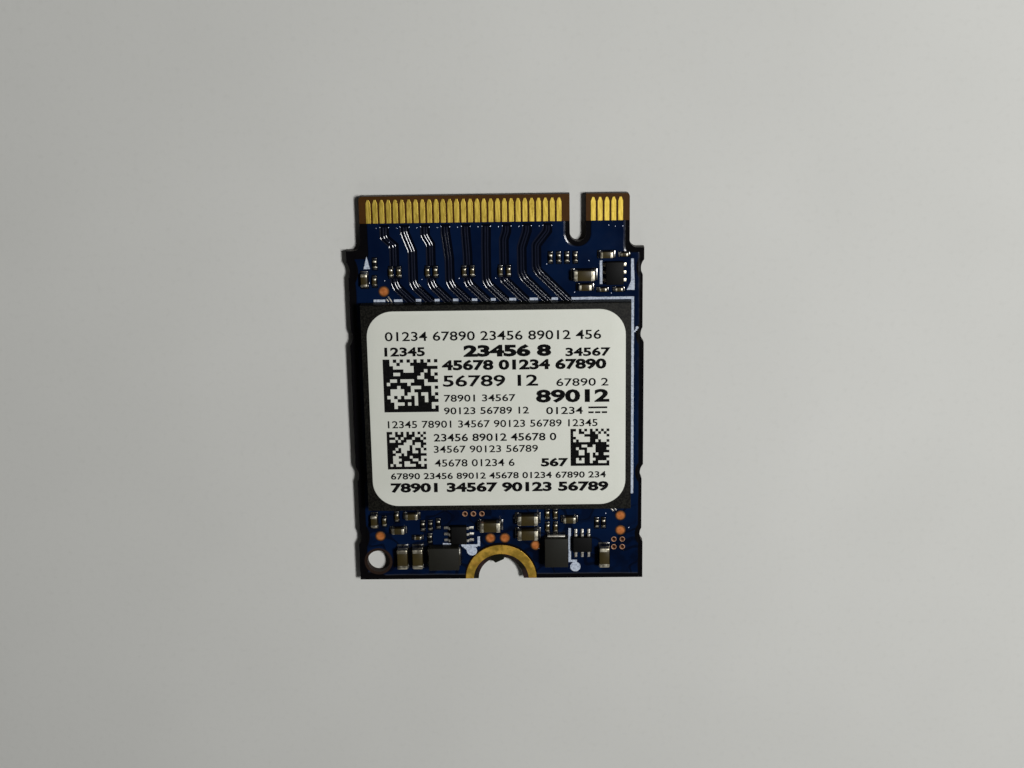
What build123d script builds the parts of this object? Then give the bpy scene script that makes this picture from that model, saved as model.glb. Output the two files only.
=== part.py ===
from build123d import *
from math import cos, radians, sin, sqrt
import os

# A gumstick solid state drive: a short card with a notched edge connector, one flat storage package under a
# paper label, and the small power and signal parts at both ends. Millimetres, Z up, component side on top.
# The origin is under the centre of the board, +Y points to the edge contacts.

# Card edge
CONTACT_PITCH = 0.5
CONTACT_PLACES = 38
KEY_FIRST_PLACE = 29
KEY_LAST_PLACE = 32
CONTACT_W = 0.35
CONTACT_L = 1.74
CONTACT_TIP_W = 0.14
CONTACT_TIP_L = 0.3
CONTACT_SETBACK = 0.25
TONGUE_SIDE_MARGIN = 0.425
TONGUE_L = 4.0
TONGUE_CORNER_R = 0.25
SHOULDER_W = 1.075
SHOULDER_R = 0.55
KEY_W = 1.2
KEY_DEPTH = 3.5

# Board build-up
LAMINATE_T = 0.73
SKIN_T = 0.035

# Storage package
SIDE_MARGIN = 1.0
PACKAGE_L = 16.0
BALL_H = 0.22
BALL_W = 0.36
BALL_PITCH = 0.8
BALL_EDGE = 0.8
SUBSTRATE_T = 0.23
MOULD_T = 0.8
LABEL_MARGIN = 0.42
LABEL_T = 0.1
LABEL_R = 1.95

# Zone of the board between the package and the contacts
TRACK_ZONE_L = 5.91

# Screw seat at the far end
SEAT_R = 1.75
SEAT_BARE_W = 0.4
SEAT_RING_W = 0.6
SEAT_RING_SHIFT = 0.13
MASK_GAP = 0.04
# The nib left where the card was broken out of its panel: degrees round the seat and reach into it.
NIB = ((120, 0.0), (113, 0.17), (108, 0.4), (96, 0.34), (81.5, 0.15), (81, 0.0))
NIB_ROOT = 0.2

# Tooling hole in the corner
TOOLING_R = 0.875
TOOLING_LAND_R = 1.1
TOOLING_FROM_SIDE = 1.47
TOOLING_FROM_END = 1.5

# Break-off notches along the sides
NOTCH_R = 1.0
NOTCH_DEPTH = 0.24
RECESS_DEPTH = 0.1
NOTCH_SPACING = 5.0
HOST_NOTCH_RISE = 2.35
SEAT_NOTCH_DROP = 2.52

# Bare copper, ink and tracks
TEST_PAD_R = 0.375
PAD_SIDES = 24
VIA_RING_R = 0.23
VIA_HOLE_R = 0.12
VIA_SIDES = 8
INK_W = 0.19
INK_T = 0.02
TRACK_W = 0.1
TRACK_T = 0.02
PAIR_PITCH = 0.18
SINGLE_SHIFT = 0.34

# Small parts: length, width and height of each size
TINY_L = 0.6
TINY_W = 0.3
TINY_H = 0.3
TINY_BAND = 0.15
RESISTOR_H = 0.23
SMALL_L = 1.0
SMALL_W = 0.5
SMALL_H = 0.5
SMALL_BAND = 0.22
BULK_L = 1.6
BULK_W = 0.8
BULK_H = 0.8
BULK_BAND = 0.3
CAP_FILM = 0.02
SOLDER_FOOT = 0.12
SOLDER_RISE = 0.5
INDUCTOR_L = 2.5
INDUCTOR_W = 1.8
INDUCTOR_H = 1.0
INDUCTOR_LIFT = 0.06
INDUCTOR_PLATE_T = 0.08
INDUCTOR_PLATE_W = 1.35
INDUCTOR_PLATE_H = 0.55
INDUCTOR_FOOT = 0.5

# Chips with leads or pads
CHIP_W = 1.2
CHIP_L = 1.45
CHIP_H = 0.5
CHIP_LIFT = 0.05
LEAD_PITCH = 0.5
LEAD_W = 0.2
LEAD_T = 0.1
LEAD_REACH = 0.55
LEAD_KNEE = 0.16
SWITCH_W = 1.3
SWITCH_L = 1.7
SWITCH_H = 0.55
SWITCH_PAD_T = 0.05
SWITCH_PAD_L = 0.4
SWITCH_PAD_W = 0.25
SWITCH_PAD_PITCH = 0.58
SWITCH_PAD_PROUD = 0.2

# What follows from them
TONGUE_W = CONTACT_PLACES * CONTACT_PITCH + 2 * TONGUE_SIDE_MARGIN
BOARD_W = TONGUE_W + 2 * SHOULDER_W
CONTACT_ZONE_L = CONTACT_L + CONTACT_SETBACK
HOST_ZONE_L = CONTACT_ZONE_L + TRACK_ZONE_L
SEAT_RING_INNER_R = SEAT_R + SEAT_BARE_W
SEAT_RING_OUTER_R = SEAT_RING_INNER_R + SEAT_RING_W
# Package, a row of bulk capacitors, the test pads above the ring, the ring: each clear of the next
BULK_ROW_DROP = 1.24 + BULK_W / 2
SEAT_PAD_DROP = BULK_ROW_DROP + BULK_W / 2 + 0.345 + TEST_PAD_R
SEAT_ZONE_L = SEAT_PAD_DROP + TEST_PAD_R + 0.215 + SEAT_RING_OUTER_R
BOARD_L = HOST_ZONE_L + PACKAGE_L + SEAT_ZONE_L
HOST_END = BOARD_L / 2
SEAT_END = -BOARD_L / 2
SIDE = BOARD_W / 2
SHOULDER_Y = HOST_END - TONGUE_L
CONTACT_BASE = HOST_END - CONTACT_ZONE_L
PACKAGE_TOP = HOST_END - HOST_ZONE_L
PACKAGE_BOTTOM = SEAT_END + SEAT_ZONE_L
PACKAGE_Y = (PACKAGE_TOP + PACKAGE_BOTTOM) / 2
PACKAGE_W = BOARD_W - 2 * SIDE_MARGIN
KEY_X = ((KEY_FIRST_PLACE + KEY_LAST_PLACE) / 2 - (CONTACT_PLACES - 1) / 2 + 0.25) * CONTACT_PITCH
LAMINATE_TOP = SKIN_T + LAMINATE_T
BOARD_TOP = LAMINATE_TOP + SKIN_T

# The small parts are laid out on the grid of the contacts, two places to a step, and spread with it.
GRID_STEP = 2 * CONTACT_PITCH


def across(steps):
    """A place across the board, in grid steps from its centre line."""
    return steps * GRID_STEP


def host(x, rise):
    """A place between the package and the contacts, at a height above the package's edge."""
    return (across(x), PACKAGE_TOP + rise)


def seat(x, drop):
    """A place between the package and the screw end, at a distance below the package's edge."""
    return (across(x), PACKAGE_BOTTOM - drop)


# Tracks: each group is a pair and one more beside it, from under the contacts down to the package.
# A group starts between two contacts, jogs to its run, and turns 45 degrees to reach the package.
GROUP_START_X = (-8.1, -6.6, -5.1, -3.6, -2.1, -0.6, 0.9, 2.4, 3.9)
GROUP_RUN_X = (-7.43, -6.07, -4.72, -3.35, -2.0, -0.63, 0.69, 2.0, 3.08)
GROUP_END_X = (-6.17, -4.77, -3.4, -2.0, -0.59, 0.78, 2.29, 3.92, 5.4)
GROUP_JOG_DROP = (1.66, 2.1, 1.6, 1.05, 1.05, 1.8, 1.3, 1.9, 1.75)
GROUP_SHIFTS = (-SINGLE_SHIFT, -PAIR_PITCH / 2, PAIR_PITCH / 2)
TRACK_START_DROP = 0.3
TRACK_STRAIGHT_DROP = 0.7
TRACK_UNDER_PACKAGE = 0.3
SLANT = sqrt(2)

# Every other group passes through a pair of coupling capacitors, which stand clear above its slant.
COUPLED_GROUPS = (0, 2, 4, 6)
COUPLED_SLANT = across(max(GROUP_END_X[number] - GROUP_RUN_X[number] for number in COUPLED_GROUPS))
COUPLING_CLEARANCE = TINY_L / 2 + SOLDER_FOOT + 0.06
COUPLING_RISE = COUPLED_SLANT + 0.18 + COUPLING_CLEARANCE

# Where the small parts sit. An upright part has its ends up and down the board, a flat one left and right.
UPRIGHT = 90
COUPLING = [
    (across(GROUP_RUN_X[number]) + side * TINY_L / 2, PACKAGE_TOP + COUPLING_RISE)
    for number in COUPLED_GROUPS
    for side in (-1, 1)
]
TINY_UPRIGHT = [
    host(-8.97, 1.59),
    seat(-8.95, 1.28),
    seat(-7.97, 0.92),
    seat(3.66, 0.83),
    seat(4.28, 0.83),
    seat(3.66, 1.89),
    seat(4.28, 1.89),
]
TINY_FLAT = [host(7.94, 0.78), host(9.13, 0.79), host(9.52, 3.4), seat(-6.4, 2.62)]
RESISTOR_PITCH = 0.61
RESISTOR_ROW_X = 5.0
RESISTOR_ROW_RISE = 3.21
RESISTOR_UPRIGHT = [host(-8.91, 2.91)]
RESISTOR_UPRIGHT += [
    (across(RESISTOR_ROW_X) + step * RESISTOR_PITCH, PACKAGE_TOP + RESISTOR_ROW_RISE)
    for step in (-1.5, -0.5, 0.5, 1.5)
]
RESISTOR_UPRIGHT += [
    seat(-5.98, 1.69),
    seat(-5.4, 1.66),
    seat(-4.78, 1.52),
    seat(-5.46, 2.74),
    seat(7.46, 1.57),
    seat(7.98, 1.57),
]
SMALL_UPRIGHT = [host(-9.71, 1.73), seat(-9.72, 1.19)]
SMALL_FLAT = [
    host(6.63, 0.99),
    host(8.21, 3.42),
    seat(-6.82, 0.82),
    seat(-7.89, 1.99),
    seat(5.35, 1.22),
]
BULK_UPRIGHT = [seat(-7.61, 4.19), seat(-6.43, 4.18), seat(8.02, 4.19)]
BULK_FLAT = [host(6.56, 1.93), seat(-0.77, BULK_ROW_DROP), seat(2.14, 1.12), seat(2.14, 2.32)]
INDUCTOR_FLAT = [seat(-4.38, 4.12)]
INDUCTOR_UPRIGHT = [seat(4.32, 3.68)]
SWITCH_PLACE = host(8.82, 2.05)
CORE_CHIP_PLACE = seat(-3.21, 2.35)
INPUT_CHIP_PLACE = (INDUCTOR_UPRIGHT[0][0] + (INDUCTOR_W + CHIP_L) / 2 + 0.39, PACKAGE_BOTTOM - 3.2)
TEST_PADS = [
    host(-8.31, 0.82),
    seat(-9.31, 2.51),
    seat(-0.78, SEAT_PAD_DROP),
    seat(0.35, SEAT_PAD_DROP),
    seat(2.73, 3.38),
    seat(9.29, 1.0),
    seat(9.29, 2.2),
]
VIAS = [seat(x, 0.76) for x in (-2.71, -2.06, -1.4)]
VIAS += [seat(x, drop) for x in (8.78, 9.43) for drop in (2.95, 3.58)]

# Notches are in line on both sides, in pairs: one pair near the contacts and one near the seat.
NOTCH_PAIR_Y = (
    PACKAGE_TOP + HOST_NOTCH_RISE - NOTCH_SPACING / 2,
    PACKAGE_BOTTOM - SEAT_NOTCH_DROP + NOTCH_SPACING / 2,
)
NOTCH_Y = [y + side * NOTCH_SPACING / 2 for y in NOTCH_PAIR_Y for side in (-1, 1)]


def contact_x(place):
    """Distance of a contact place from the centre line."""
    return (place - (CONTACT_PLACES - 1) / 2) * CONTACT_PITCH


def stand(places, turn=0):
    """Locations on top of the board, each turned by an angle."""
    return [Location((x, y, BOARD_TOP), (0, 0, turn)) for x, y in places]


def ends(spots, length):
    """Both ends of a part of this length at each spot, with X pointing outwards."""
    both = []
    for spot in spots:
        both.append(spot * Location((length / 2, 0, 0)))
        both.append(spot * Location((-length / 2, 0, 0), (0, 0, 180)))
    return both


def sideways(route, shift):
    """An open route moved sideways, with its corners kept sharp."""
    normals = []
    for start, stop in zip(route, route[1:]):
        run = (stop - start).normalized()
        normals.append(Vector(-run.Y, run.X))
    moved = [route[0] + normals[0] * shift]
    for corner, before, after in zip(route[1:-1], normals, normals[1:]):
        mitre = before + after
        moved.append(corner + mitre * (2 * shift / mitre.length**2))
    moved.append(route[-1] + normals[-1] * shift)
    return moved


os.makedirs("parts", exist_ok=True)

# The outline that the laminate and both masks share
with BuildSketch() as card:
    with Locations((0, SEAT_END)):
        Rectangle(BOARD_W, SHOULDER_Y - SEAT_END, align=(Align.CENTER, Align.MIN))
    with Locations((0, SHOULDER_Y)):
        Rectangle(TONGUE_W, TONGUE_L, align=(Align.CENTER, Align.MIN))
    inner_corners = card.vertices().group_by(Axis.Y)[1].sort_by(Axis.X)[1:-1]
    fillet(inner_corners, SHOULDER_R)
    fillet(card.vertices().group_by(Axis.Y)[-1], TONGUE_CORNER_R)
    with Locations((KEY_X, HOST_END)):
        Rectangle(KEY_W, KEY_DEPTH - KEY_W / 2, align=(Align.CENTER, Align.MAX), mode=Mode.SUBTRACT)
    with Locations((KEY_X, HOST_END - KEY_DEPTH + KEY_W / 2)):
        Circle(KEY_W / 2, mode=Mode.SUBTRACT)
    with Locations((0, SEAT_END)):
        Circle(SEAT_R, mode=Mode.SUBTRACT)
    with Locations((-SIDE + TOOLING_FROM_SIDE, SEAT_END + TOOLING_FROM_END)):
        Circle(TOOLING_R, mode=Mode.SUBTRACT)
    for edge in (-SIDE, SIDE):
        outward = 1 if edge > 0 else -1
        with Locations(*[(edge + outward * (NOTCH_R - NOTCH_DEPTH), y) for y in NOTCH_Y]):
            Circle(NOTCH_R, mode=Mode.SUBTRACT)
        with Locations(*[(edge, y) for y in NOTCH_PAIR_Y]):
            Rectangle(2 * RECESS_DEPTH, NOTCH_SPACING, mode=Mode.SUBTRACT)


def via_holes():
    """Holes for the open vias, cut from the open sketch."""
    with Locations(*VIAS):
        RegularPolygon(VIA_RING_R, VIA_SIDES, mode=Mode.SUBTRACT)


# Laminate core, with the nib left in the seat
with BuildPart() as circuit_board:
    with BuildSketch(Plane.XY.offset(SKIN_T)):
        add(card.sketch)
        with BuildLine():
            nib = [(SEAT_R - reach, angle) for angle, reach in NIB]
            nib += [(SEAT_R + NIB_ROOT, NIB[-1][0]), (SEAT_R + NIB_ROOT, NIB[0][0])]
            Polyline(
                *[(r * cos(radians(a)), SEAT_END + r * sin(radians(a))) for r, a in nib],
                close=True,
            )
        make_face()
        via_holes()
    extrude(amount=LAMINATE_T)
circuit_board.part.label = "circuit_board"
export_step(circuit_board.part, "parts/circuit_board.step")


def mask_openings():
    """What both masks leave bare, cut from the open sketch: card edge, seat and tooling hole."""
    with Locations((0, CONTACT_BASE)):
        Rectangle(BOARD_W, BOARD_L, align=(Align.CENTER, Align.MIN), mode=Mode.SUBTRACT)
    with Locations((0, SEAT_END)):
        Circle(SEAT_RING_OUTER_R + MASK_GAP, mode=Mode.SUBTRACT)
    with Locations((-SIDE + TOOLING_FROM_SIDE, SEAT_END + TOOLING_FROM_END)):
        Circle(TOOLING_LAND_R, mode=Mode.SUBTRACT)


# Blue solder mask on both faces
with BuildPart() as solder_mask_top:
    with BuildSketch(Plane.XY.offset(LAMINATE_TOP)):
        add(card.sketch)
        mask_openings()
        with Locations(*TEST_PADS):
            RegularPolygon(TEST_PAD_R + MASK_GAP, PAD_SIDES, mode=Mode.SUBTRACT)
        via_holes()
    extrude(amount=SKIN_T)
solder_mask_top.part.label = "solder_mask_top"
export_step(solder_mask_top.part, "parts/solder_mask_top.step")

with BuildPart() as solder_mask_bottom:
    with BuildSketch(Plane.XY):
        add(card.sketch)
        mask_openings()
        via_holes()
    extrude(amount=SKIN_T)
solder_mask_bottom.part.label = "solder_mask_bottom"
export_step(solder_mask_bottom.part, "parts/solder_mask_bottom.step")

# Gold contacts: blunt at the mask, narrowed at the tip
with BuildSketch() as contact:
    with BuildLine():
        straight_l = CONTACT_L - CONTACT_TIP_L
        Polyline(
            (-CONTACT_W / 2, 0),
            (CONTACT_W / 2, 0),
            (CONTACT_W / 2, straight_l),
            (CONTACT_TIP_W / 2, CONTACT_L),
            (-CONTACT_TIP_W / 2, CONTACT_L),
            (-CONTACT_W / 2, straight_l),
            close=True,
        )
    make_face()

top_places = [p for p in range(CONTACT_PLACES) if not KEY_FIRST_PLACE <= p <= KEY_LAST_PLACE]
with BuildPart() as edge_contacts_top:
    with BuildSketch(Plane.XY.offset(LAMINATE_TOP)):
        with Locations(*[(contact_x(p), CONTACT_BASE) for p in top_places]):
            add(contact.sketch)
    extrude(amount=SKIN_T)
edge_contacts_top.part.label = "edge_contacts_top"
export_step(edge_contacts_top.part, "parts/edge_contacts_top.step")

# The contacts below are half a pitch across from those on top, so there is one fewer.
bottom_places = [p + 0.5 for p in top_places[:-1]]
with BuildPart() as edge_contacts_bottom:
    with BuildSketch(Plane.XY):
        with Locations(*[(contact_x(p), CONTACT_BASE) for p in bottom_places]):
            Rectangle(CONTACT_W, CONTACT_L, align=(Align.CENTER, Align.MIN))
    extrude(amount=SKIN_T)
edge_contacts_bottom.part.label = "edge_contacts_bottom"
export_step(edge_contacts_bottom.part, "parts/edge_contacts_bottom.step")


def seat_ring():
    """The half ring round the screw seat, added to the open sketch."""
    with Locations((0, SEAT_END)):
        Circle(SEAT_RING_OUTER_R)
        Rectangle(
            2 * SEAT_RING_OUTER_R,
            SEAT_RING_OUTER_R,
            align=(Align.CENTER, Align.MAX),
            mode=Mode.SUBTRACT,
        )
    with Locations((0, SEAT_END - SEAT_RING_SHIFT)):
        Circle(SEAT_RING_INNER_R, mode=Mode.SUBTRACT)


# Gold half rings that the screw head presses on
with BuildPart() as mount_ring_top:
    with BuildSketch(Plane.XY.offset(LAMINATE_TOP)):
        seat_ring()
    extrude(amount=SKIN_T)
mount_ring_top.part.label = "mount_ring_top"
export_step(mount_ring_top.part, "parts/mount_ring_top.step")

with BuildPart() as mount_ring_bottom:
    with BuildSketch(Plane.XY):
        seat_ring()
    extrude(amount=SKIN_T)
mount_ring_bottom.part.label = "mount_ring_bottom"
export_step(mount_ring_bottom.part, "parts/mount_ring_bottom.step")

# Bare copper test points, and open vias plated right through the board
with BuildPart() as test_pads:
    with BuildSketch(Plane.XY.offset(LAMINATE_TOP)):
        with Locations(*TEST_PADS):
            RegularPolygon(TEST_PAD_R, PAD_SIDES)
    extrude(amount=SKIN_T)
test_pads.part.label = "test_pads"
export_step(test_pads.part, "parts/test_pads.step")

with BuildPart() as via_barrels:
    with BuildSketch(Plane.XY):
        with Locations(*VIAS):
            RegularPolygon(VIA_RING_R, VIA_SIDES)
            RegularPolygon(VIA_HOLE_R, VIA_SIDES, mode=Mode.SUBTRACT)
    extrude(amount=BOARD_TOP)
via_barrels.part.label = "via_barrels"
export_step(via_barrels.part, "parts/via_barrels.step")


def group_routes():
    """The middle line of each group of tracks, in one piece or broken by its coupling capacitors."""
    routes = []
    for number, run_x in enumerate(GROUP_RUN_X):
        start_x = across(GROUP_START_X[number])
        end_x = across(GROUP_END_X[number])
        run_x = across(run_x)
        low_y = PACKAGE_TOP - TRACK_UNDER_PACKAGE
        upper = [
            Vector(start_x, CONTACT_BASE - TRACK_START_DROP),
            Vector(start_x, CONTACT_BASE - TRACK_STRAIGHT_DROP),
            Vector(run_x, CONTACT_BASE - GROUP_JOG_DROP[number]),
        ]
        lower = [
            Vector(run_x, PACKAGE_TOP + (end_x - run_x)),
            Vector(end_x + TRACK_UNDER_PACKAGE, low_y),
        ]
        if number in COUPLED_GROUPS:
            row_y = PACKAGE_TOP + COUPLING_RISE
            routes.append(upper + [Vector(run_x, row_y + COUPLING_CLEARANCE)])
            routes.append([Vector(run_x, row_y - COUPLING_CLEARANCE)] + lower)
        else:
            routes.append(upper + lower)
    return routes


with BuildPart() as signal_traces:
    with BuildSketch(Plane.XY.offset(BOARD_TOP)):
        for route in group_routes():
            for shift in GROUP_SHIFTS:
                near = sideways(route, shift - TRACK_W / 2)
                far = sideways(route, shift + TRACK_W / 2)
                with BuildLine():
                    Polyline(*near, *reversed(far), close=True)
                make_face()
    extrude(amount=TRACK_T)
signal_traces.part.label = "signal_traces"
export_step(signal_traces.part, "parts/signal_traces.step")

# White ink. Dashes stand between the groups of tracks, and a bar guides the package's right-hand side.
DASH_LOW = PACKAGE_TOP + 0.025
DASH_HIGH = DASH_LOW + INK_W
DASH_LEFT_CLEAR = (PAIR_PITCH / 2 + TRACK_W / 2) * SLANT + 0.02
DASH_RIGHT_CLEAR = (SINGLE_SHIFT + TRACK_W / 2) * SLANT + 0.02 + DASH_HIGH - PACKAGE_TOP
GUIDE_LEFT = PACKAGE_W / 2 + 0.07
GUIDE_LOW = PACKAGE_BOTTOM + 0.8
TRIANGLE_W = 0.48
TRIANGLE_H = 0.94
DOT_R = 0.4
SWITCH_INK_LEFT = SWITCH_W / 2 + 0.35 + INK_W / 2
SWITCH_INK_LOW = SWITCH_L / 2 + 0.02
SWITCH_INK_HIGH = SWITCH_L / 2 + 0.06
SWITCH_FLARE_RIGHT = SWITCH_W / 2 + 0.56
SWITCH_FLARE_HIGH = SWITCH_L / 2 + 0.17
FLARE_STRAIGHT_L = 1.7
FLARE_L = 2.36
FLARE_RIGHT_W = 0.27
FLARE_LEFT_W = 0.3
ELBOW_RIGHT = CHIP_W / 2 + LEAD_REACH + 0.28
ELBOW_LOW = CHIP_L / 2 + 0.25
ELBOW_L = 1.26
ELBOW_W = 0.14
ELBOW_H = 0.72
ELBOW_TAIL = 0.63
ELBOW_DOT = 0.45
INPUT_INK_LEFT = CHIP_L / 2 + 0.25
INPUT_INK_HIGH = 1.2
INPUT_INK_LOW = 1.6
INPUT_INK_FOOT = 0.65
INPUT_DOT_RIGHT = 0.43
INPUT_DOT_LOW = 1.98


def bar(left, right, low, high):
    """A bar of ink between four limits, added to the open sketch."""
    with Locations(((left + right) / 2, (low + high) / 2)):
        Rectangle(right - left, high - low)


with BuildPart() as silkscreen_marks:
    with BuildSketch(Plane.XY.offset(BOARD_TOP)):
        bar(across(-9.1), across(-8.23), DASH_LOW, DASH_HIGH)
        dash_left = across(-7.59)
        for end_x in GROUP_END_X:
            bar(dash_left, across(end_x) - DASH_RIGHT_CLEAR, DASH_LOW, DASH_HIGH)
            dash_left = across(end_x) + DASH_LEFT_CLEAR
        bar(dash_left, GUIDE_LEFT + INK_W, DASH_LOW, DASH_HIGH)
        bar(GUIDE_LEFT, GUIDE_LEFT + INK_W, GUIDE_LOW, DASH_HIGH)
        triangle_x, triangle_y = host(-9.51, 2.52)
        with BuildLine():
            Polyline(
                (triangle_x - TRIANGLE_W / 2, triangle_y),
                (triangle_x + TRIANGLE_W / 2, triangle_y),
                (triangle_x, triangle_y + TRIANGLE_H),
                close=True,
            )
        make_face()
        switch_x, switch_y = SWITCH_PLACE
        ink_left = switch_x - SWITCH_INK_LEFT
        bar(ink_left, ink_left + INK_W, switch_y - SWITCH_INK_LOW, switch_y + SWITCH_INK_HIGH)
        flare_x = switch_x + SWITCH_FLARE_RIGHT
        flare_y = switch_y + SWITCH_FLARE_HIGH
        with BuildLine():
            Polyline(
                (flare_x, flare_y),
                (flare_x + INK_W, flare_y),
                (flare_x + FLARE_RIGHT_W, flare_y - FLARE_STRAIGHT_L),
                (flare_x + FLARE_RIGHT_W, flare_y - FLARE_L),
                (flare_x - FLARE_LEFT_W, flare_y - FLARE_L),
                (flare_x, flare_y - FLARE_STRAIGHT_L),
                close=True,
            )
        make_face()
        core_x, core_y = CORE_CHIP_PLACE
        elbow_x = core_x + ELBOW_RIGHT
        elbow_y = core_y - ELBOW_LOW
        bar(elbow_x, elbow_x + INK_W, elbow_y, elbow_y + ELBOW_H)
        bar(elbow_x - ELBOW_L, elbow_x + INK_W, elbow_y - ELBOW_W / 2, elbow_y + ELBOW_W / 2)
        bar(core_x - 2 * ELBOW_TAIL, core_x - ELBOW_TAIL, elbow_y, elbow_y + INK_W)
        with Locations((elbow_x - ELBOW_DOT, elbow_y - ELBOW_DOT)):
            Circle(DOT_R)
        input_x, input_y = INPUT_CHIP_PLACE
        ink_left = input_x - INPUT_INK_LEFT - INK_W / 2
        bar(ink_left, ink_left + INK_W, input_y - INPUT_INK_LOW, input_y + INPUT_INK_HIGH)
        bar(ink_left, ink_left + INPUT_INK_FOOT, input_y - INPUT_INK_LOW, input_y - INPUT_INK_LOW + INK_W)
        with Locations((ink_left + INK_W / 2 + INPUT_DOT_RIGHT, input_y - INPUT_DOT_LOW)):
            Circle(DOT_R)
    extrude(amount=INK_T)
silkscreen_marks.part.label = "silkscreen_marks"
export_step(silkscreen_marks.part, "parts/silkscreen_marks.step")

# Solder balls under the package. Only the outer ring is laid: the rest can't be seen.
ball_columns = round((PACKAGE_W - 2 * BALL_EDGE) / BALL_PITCH) + 1
ball_rows = round((PACKAGE_L - 2 * BALL_EDGE) / BALL_PITCH) + 1
ball_spread_x = (ball_columns - 1) * BALL_PITCH
ball_spread_y = (ball_rows - 1) * BALL_PITCH
with BuildPart() as package_solder_balls:
    with BuildSketch(Plane.XY.offset(BOARD_TOP)):
        with Locations((0, PACKAGE_Y)):
            with GridLocations(BALL_PITCH, ball_spread_y, ball_columns, 2):
                Rectangle(BALL_W, BALL_W)
            with GridLocations(ball_spread_x, BALL_PITCH, 2, ball_rows - 2):
                Rectangle(BALL_W, BALL_W)
    extrude(amount=BALL_H)
package_solder_balls.part.label = "package_solder_balls"
export_step(package_solder_balls.part, "parts/package_solder_balls.step")

# Package, sawn flush on all four sides
with BuildPart() as package_substrate:
    with BuildSketch(Plane.XY.offset(BOARD_TOP + BALL_H)):
        with Locations((0, PACKAGE_Y)):
            Rectangle(PACKAGE_W, PACKAGE_L)
    extrude(amount=SUBSTRATE_T)
package_substrate.part.label = "package_substrate"
export_step(package_substrate.part, "parts/package_substrate.step")

with BuildPart() as package_mould:
    with BuildSketch(Plane.XY.offset(BOARD_TOP + BALL_H + SUBSTRATE_T)):
        with Locations((0, PACKAGE_Y)):
            Rectangle(PACKAGE_W, PACKAGE_L)
    extrude(amount=MOULD_T)
package_mould.part.label = "package_mould"
export_step(package_mould.part, "parts/package_mould.step")

with BuildPart() as storage_label:
    with BuildSketch(Plane.XY.offset(BOARD_TOP + BALL_H + SUBSTRATE_T + MOULD_T)):
        with Locations((0, PACKAGE_Y)):
            RectangleRounded(PACKAGE_W - 2 * LABEL_MARGIN, PACKAGE_L - 2 * LABEL_MARGIN, LABEL_R)
    extrude(amount=LABEL_T)
storage_label.part.label = "storage_label"
export_step(storage_label.part, "parts/storage_label.step")

# Small two-ended parts. A tiny body stands between its caps; a larger one sits in their pockets.
BETWEEN = (Align.CENTER, Align.CENTER, Align.MIN)
OUTER_END = (Align.MAX, Align.CENTER, Align.MIN)


def tiny_bodies(spots, height):
    """Bodies between two caps, added to the open part."""
    with Locations(*[spot * Location((0, 0, CAP_FILM)) for spot in spots]):
        Box(TINY_L - 2 * TINY_BAND, TINY_W - 2 * CAP_FILM, height - 2 * CAP_FILM, align=BETWEEN)


def tiny_caps(spots, height):
    """Caps of tiny parts, added to the open part."""
    with Locations(*ends(spots, TINY_L)):
        Box(TINY_BAND, TINY_W, height, align=OUTER_END)


def pocketed_bodies(spots, length, width, height, mode=Mode.ADD):
    """Bodies that reach into their caps, leaving the cap's film all round."""
    with Locations(*[spot * Location((0, 0, CAP_FILM)) for spot in spots]):
        Box(
            length - 2 * CAP_FILM,
            width - 2 * CAP_FILM,
            height - 2 * CAP_FILM,
            align=BETWEEN,
            mode=mode,
        )


def pocketed_caps(spots, length, width, height, band):
    """Caps with a pocket for the body, added to the open part."""
    with Locations(*ends(spots, length)):
        Box(band, width, height, align=OUTER_END)
    pocketed_bodies(spots, length, width, height, mode=Mode.SUBTRACT)


coupling_spots = stand(COUPLING, UPRIGHT)
tiny_spots = stand(TINY_UPRIGHT, UPRIGHT) + stand(TINY_FLAT)
resistor_spots = stand(RESISTOR_UPRIGHT, UPRIGHT)
small_spots = stand(SMALL_UPRIGHT, UPRIGHT) + stand(SMALL_FLAT)
bulk_spots = stand(BULK_UPRIGHT, UPRIGHT) + stand(BULK_FLAT)
inductor_spots = stand(INDUCTOR_UPRIGHT, UPRIGHT) + stand(INDUCTOR_FLAT)

with BuildPart() as coupling_capacitor_bodies:
    tiny_bodies(coupling_spots, TINY_H)
coupling_capacitor_bodies.part.label = "coupling_capacitor_bodies"
export_step(coupling_capacitor_bodies.part, "parts/coupling_capacitor_bodies.step")

with BuildPart() as coupling_capacitor_caps:
    tiny_caps(coupling_spots, TINY_H)
coupling_capacitor_caps.part.label = "coupling_capacitor_caps"
export_step(coupling_capacitor_caps.part, "parts/coupling_capacitor_caps.step")

with BuildPart() as small_capacitor_bodies:
    tiny_bodies(tiny_spots, TINY_H)
small_capacitor_bodies.part.label = "small_capacitor_bodies"
export_step(small_capacitor_bodies.part, "parts/small_capacitor_bodies.step")

with BuildPart() as small_capacitor_caps:
    tiny_caps(tiny_spots, TINY_H)
small_capacitor_caps.part.label = "small_capacitor_caps"
export_step(small_capacitor_caps.part, "parts/small_capacitor_caps.step")

with BuildPart() as resistor_bodies:
    tiny_bodies(resistor_spots, RESISTOR_H)
resistor_bodies.part.label = "resistor_bodies"
export_step(resistor_bodies.part, "parts/resistor_bodies.step")

with BuildPart() as resistor_caps:
    tiny_caps(resistor_spots, RESISTOR_H)
resistor_caps.part.label = "resistor_caps"
export_step(resistor_caps.part, "parts/resistor_caps.step")

with BuildPart() as decoupling_capacitor_bodies:
    pocketed_bodies(small_spots, SMALL_L, SMALL_W, SMALL_H)
decoupling_capacitor_bodies.part.label = "decoupling_capacitor_bodies"
export_step(decoupling_capacitor_bodies.part, "parts/decoupling_capacitor_bodies.step")

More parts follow.
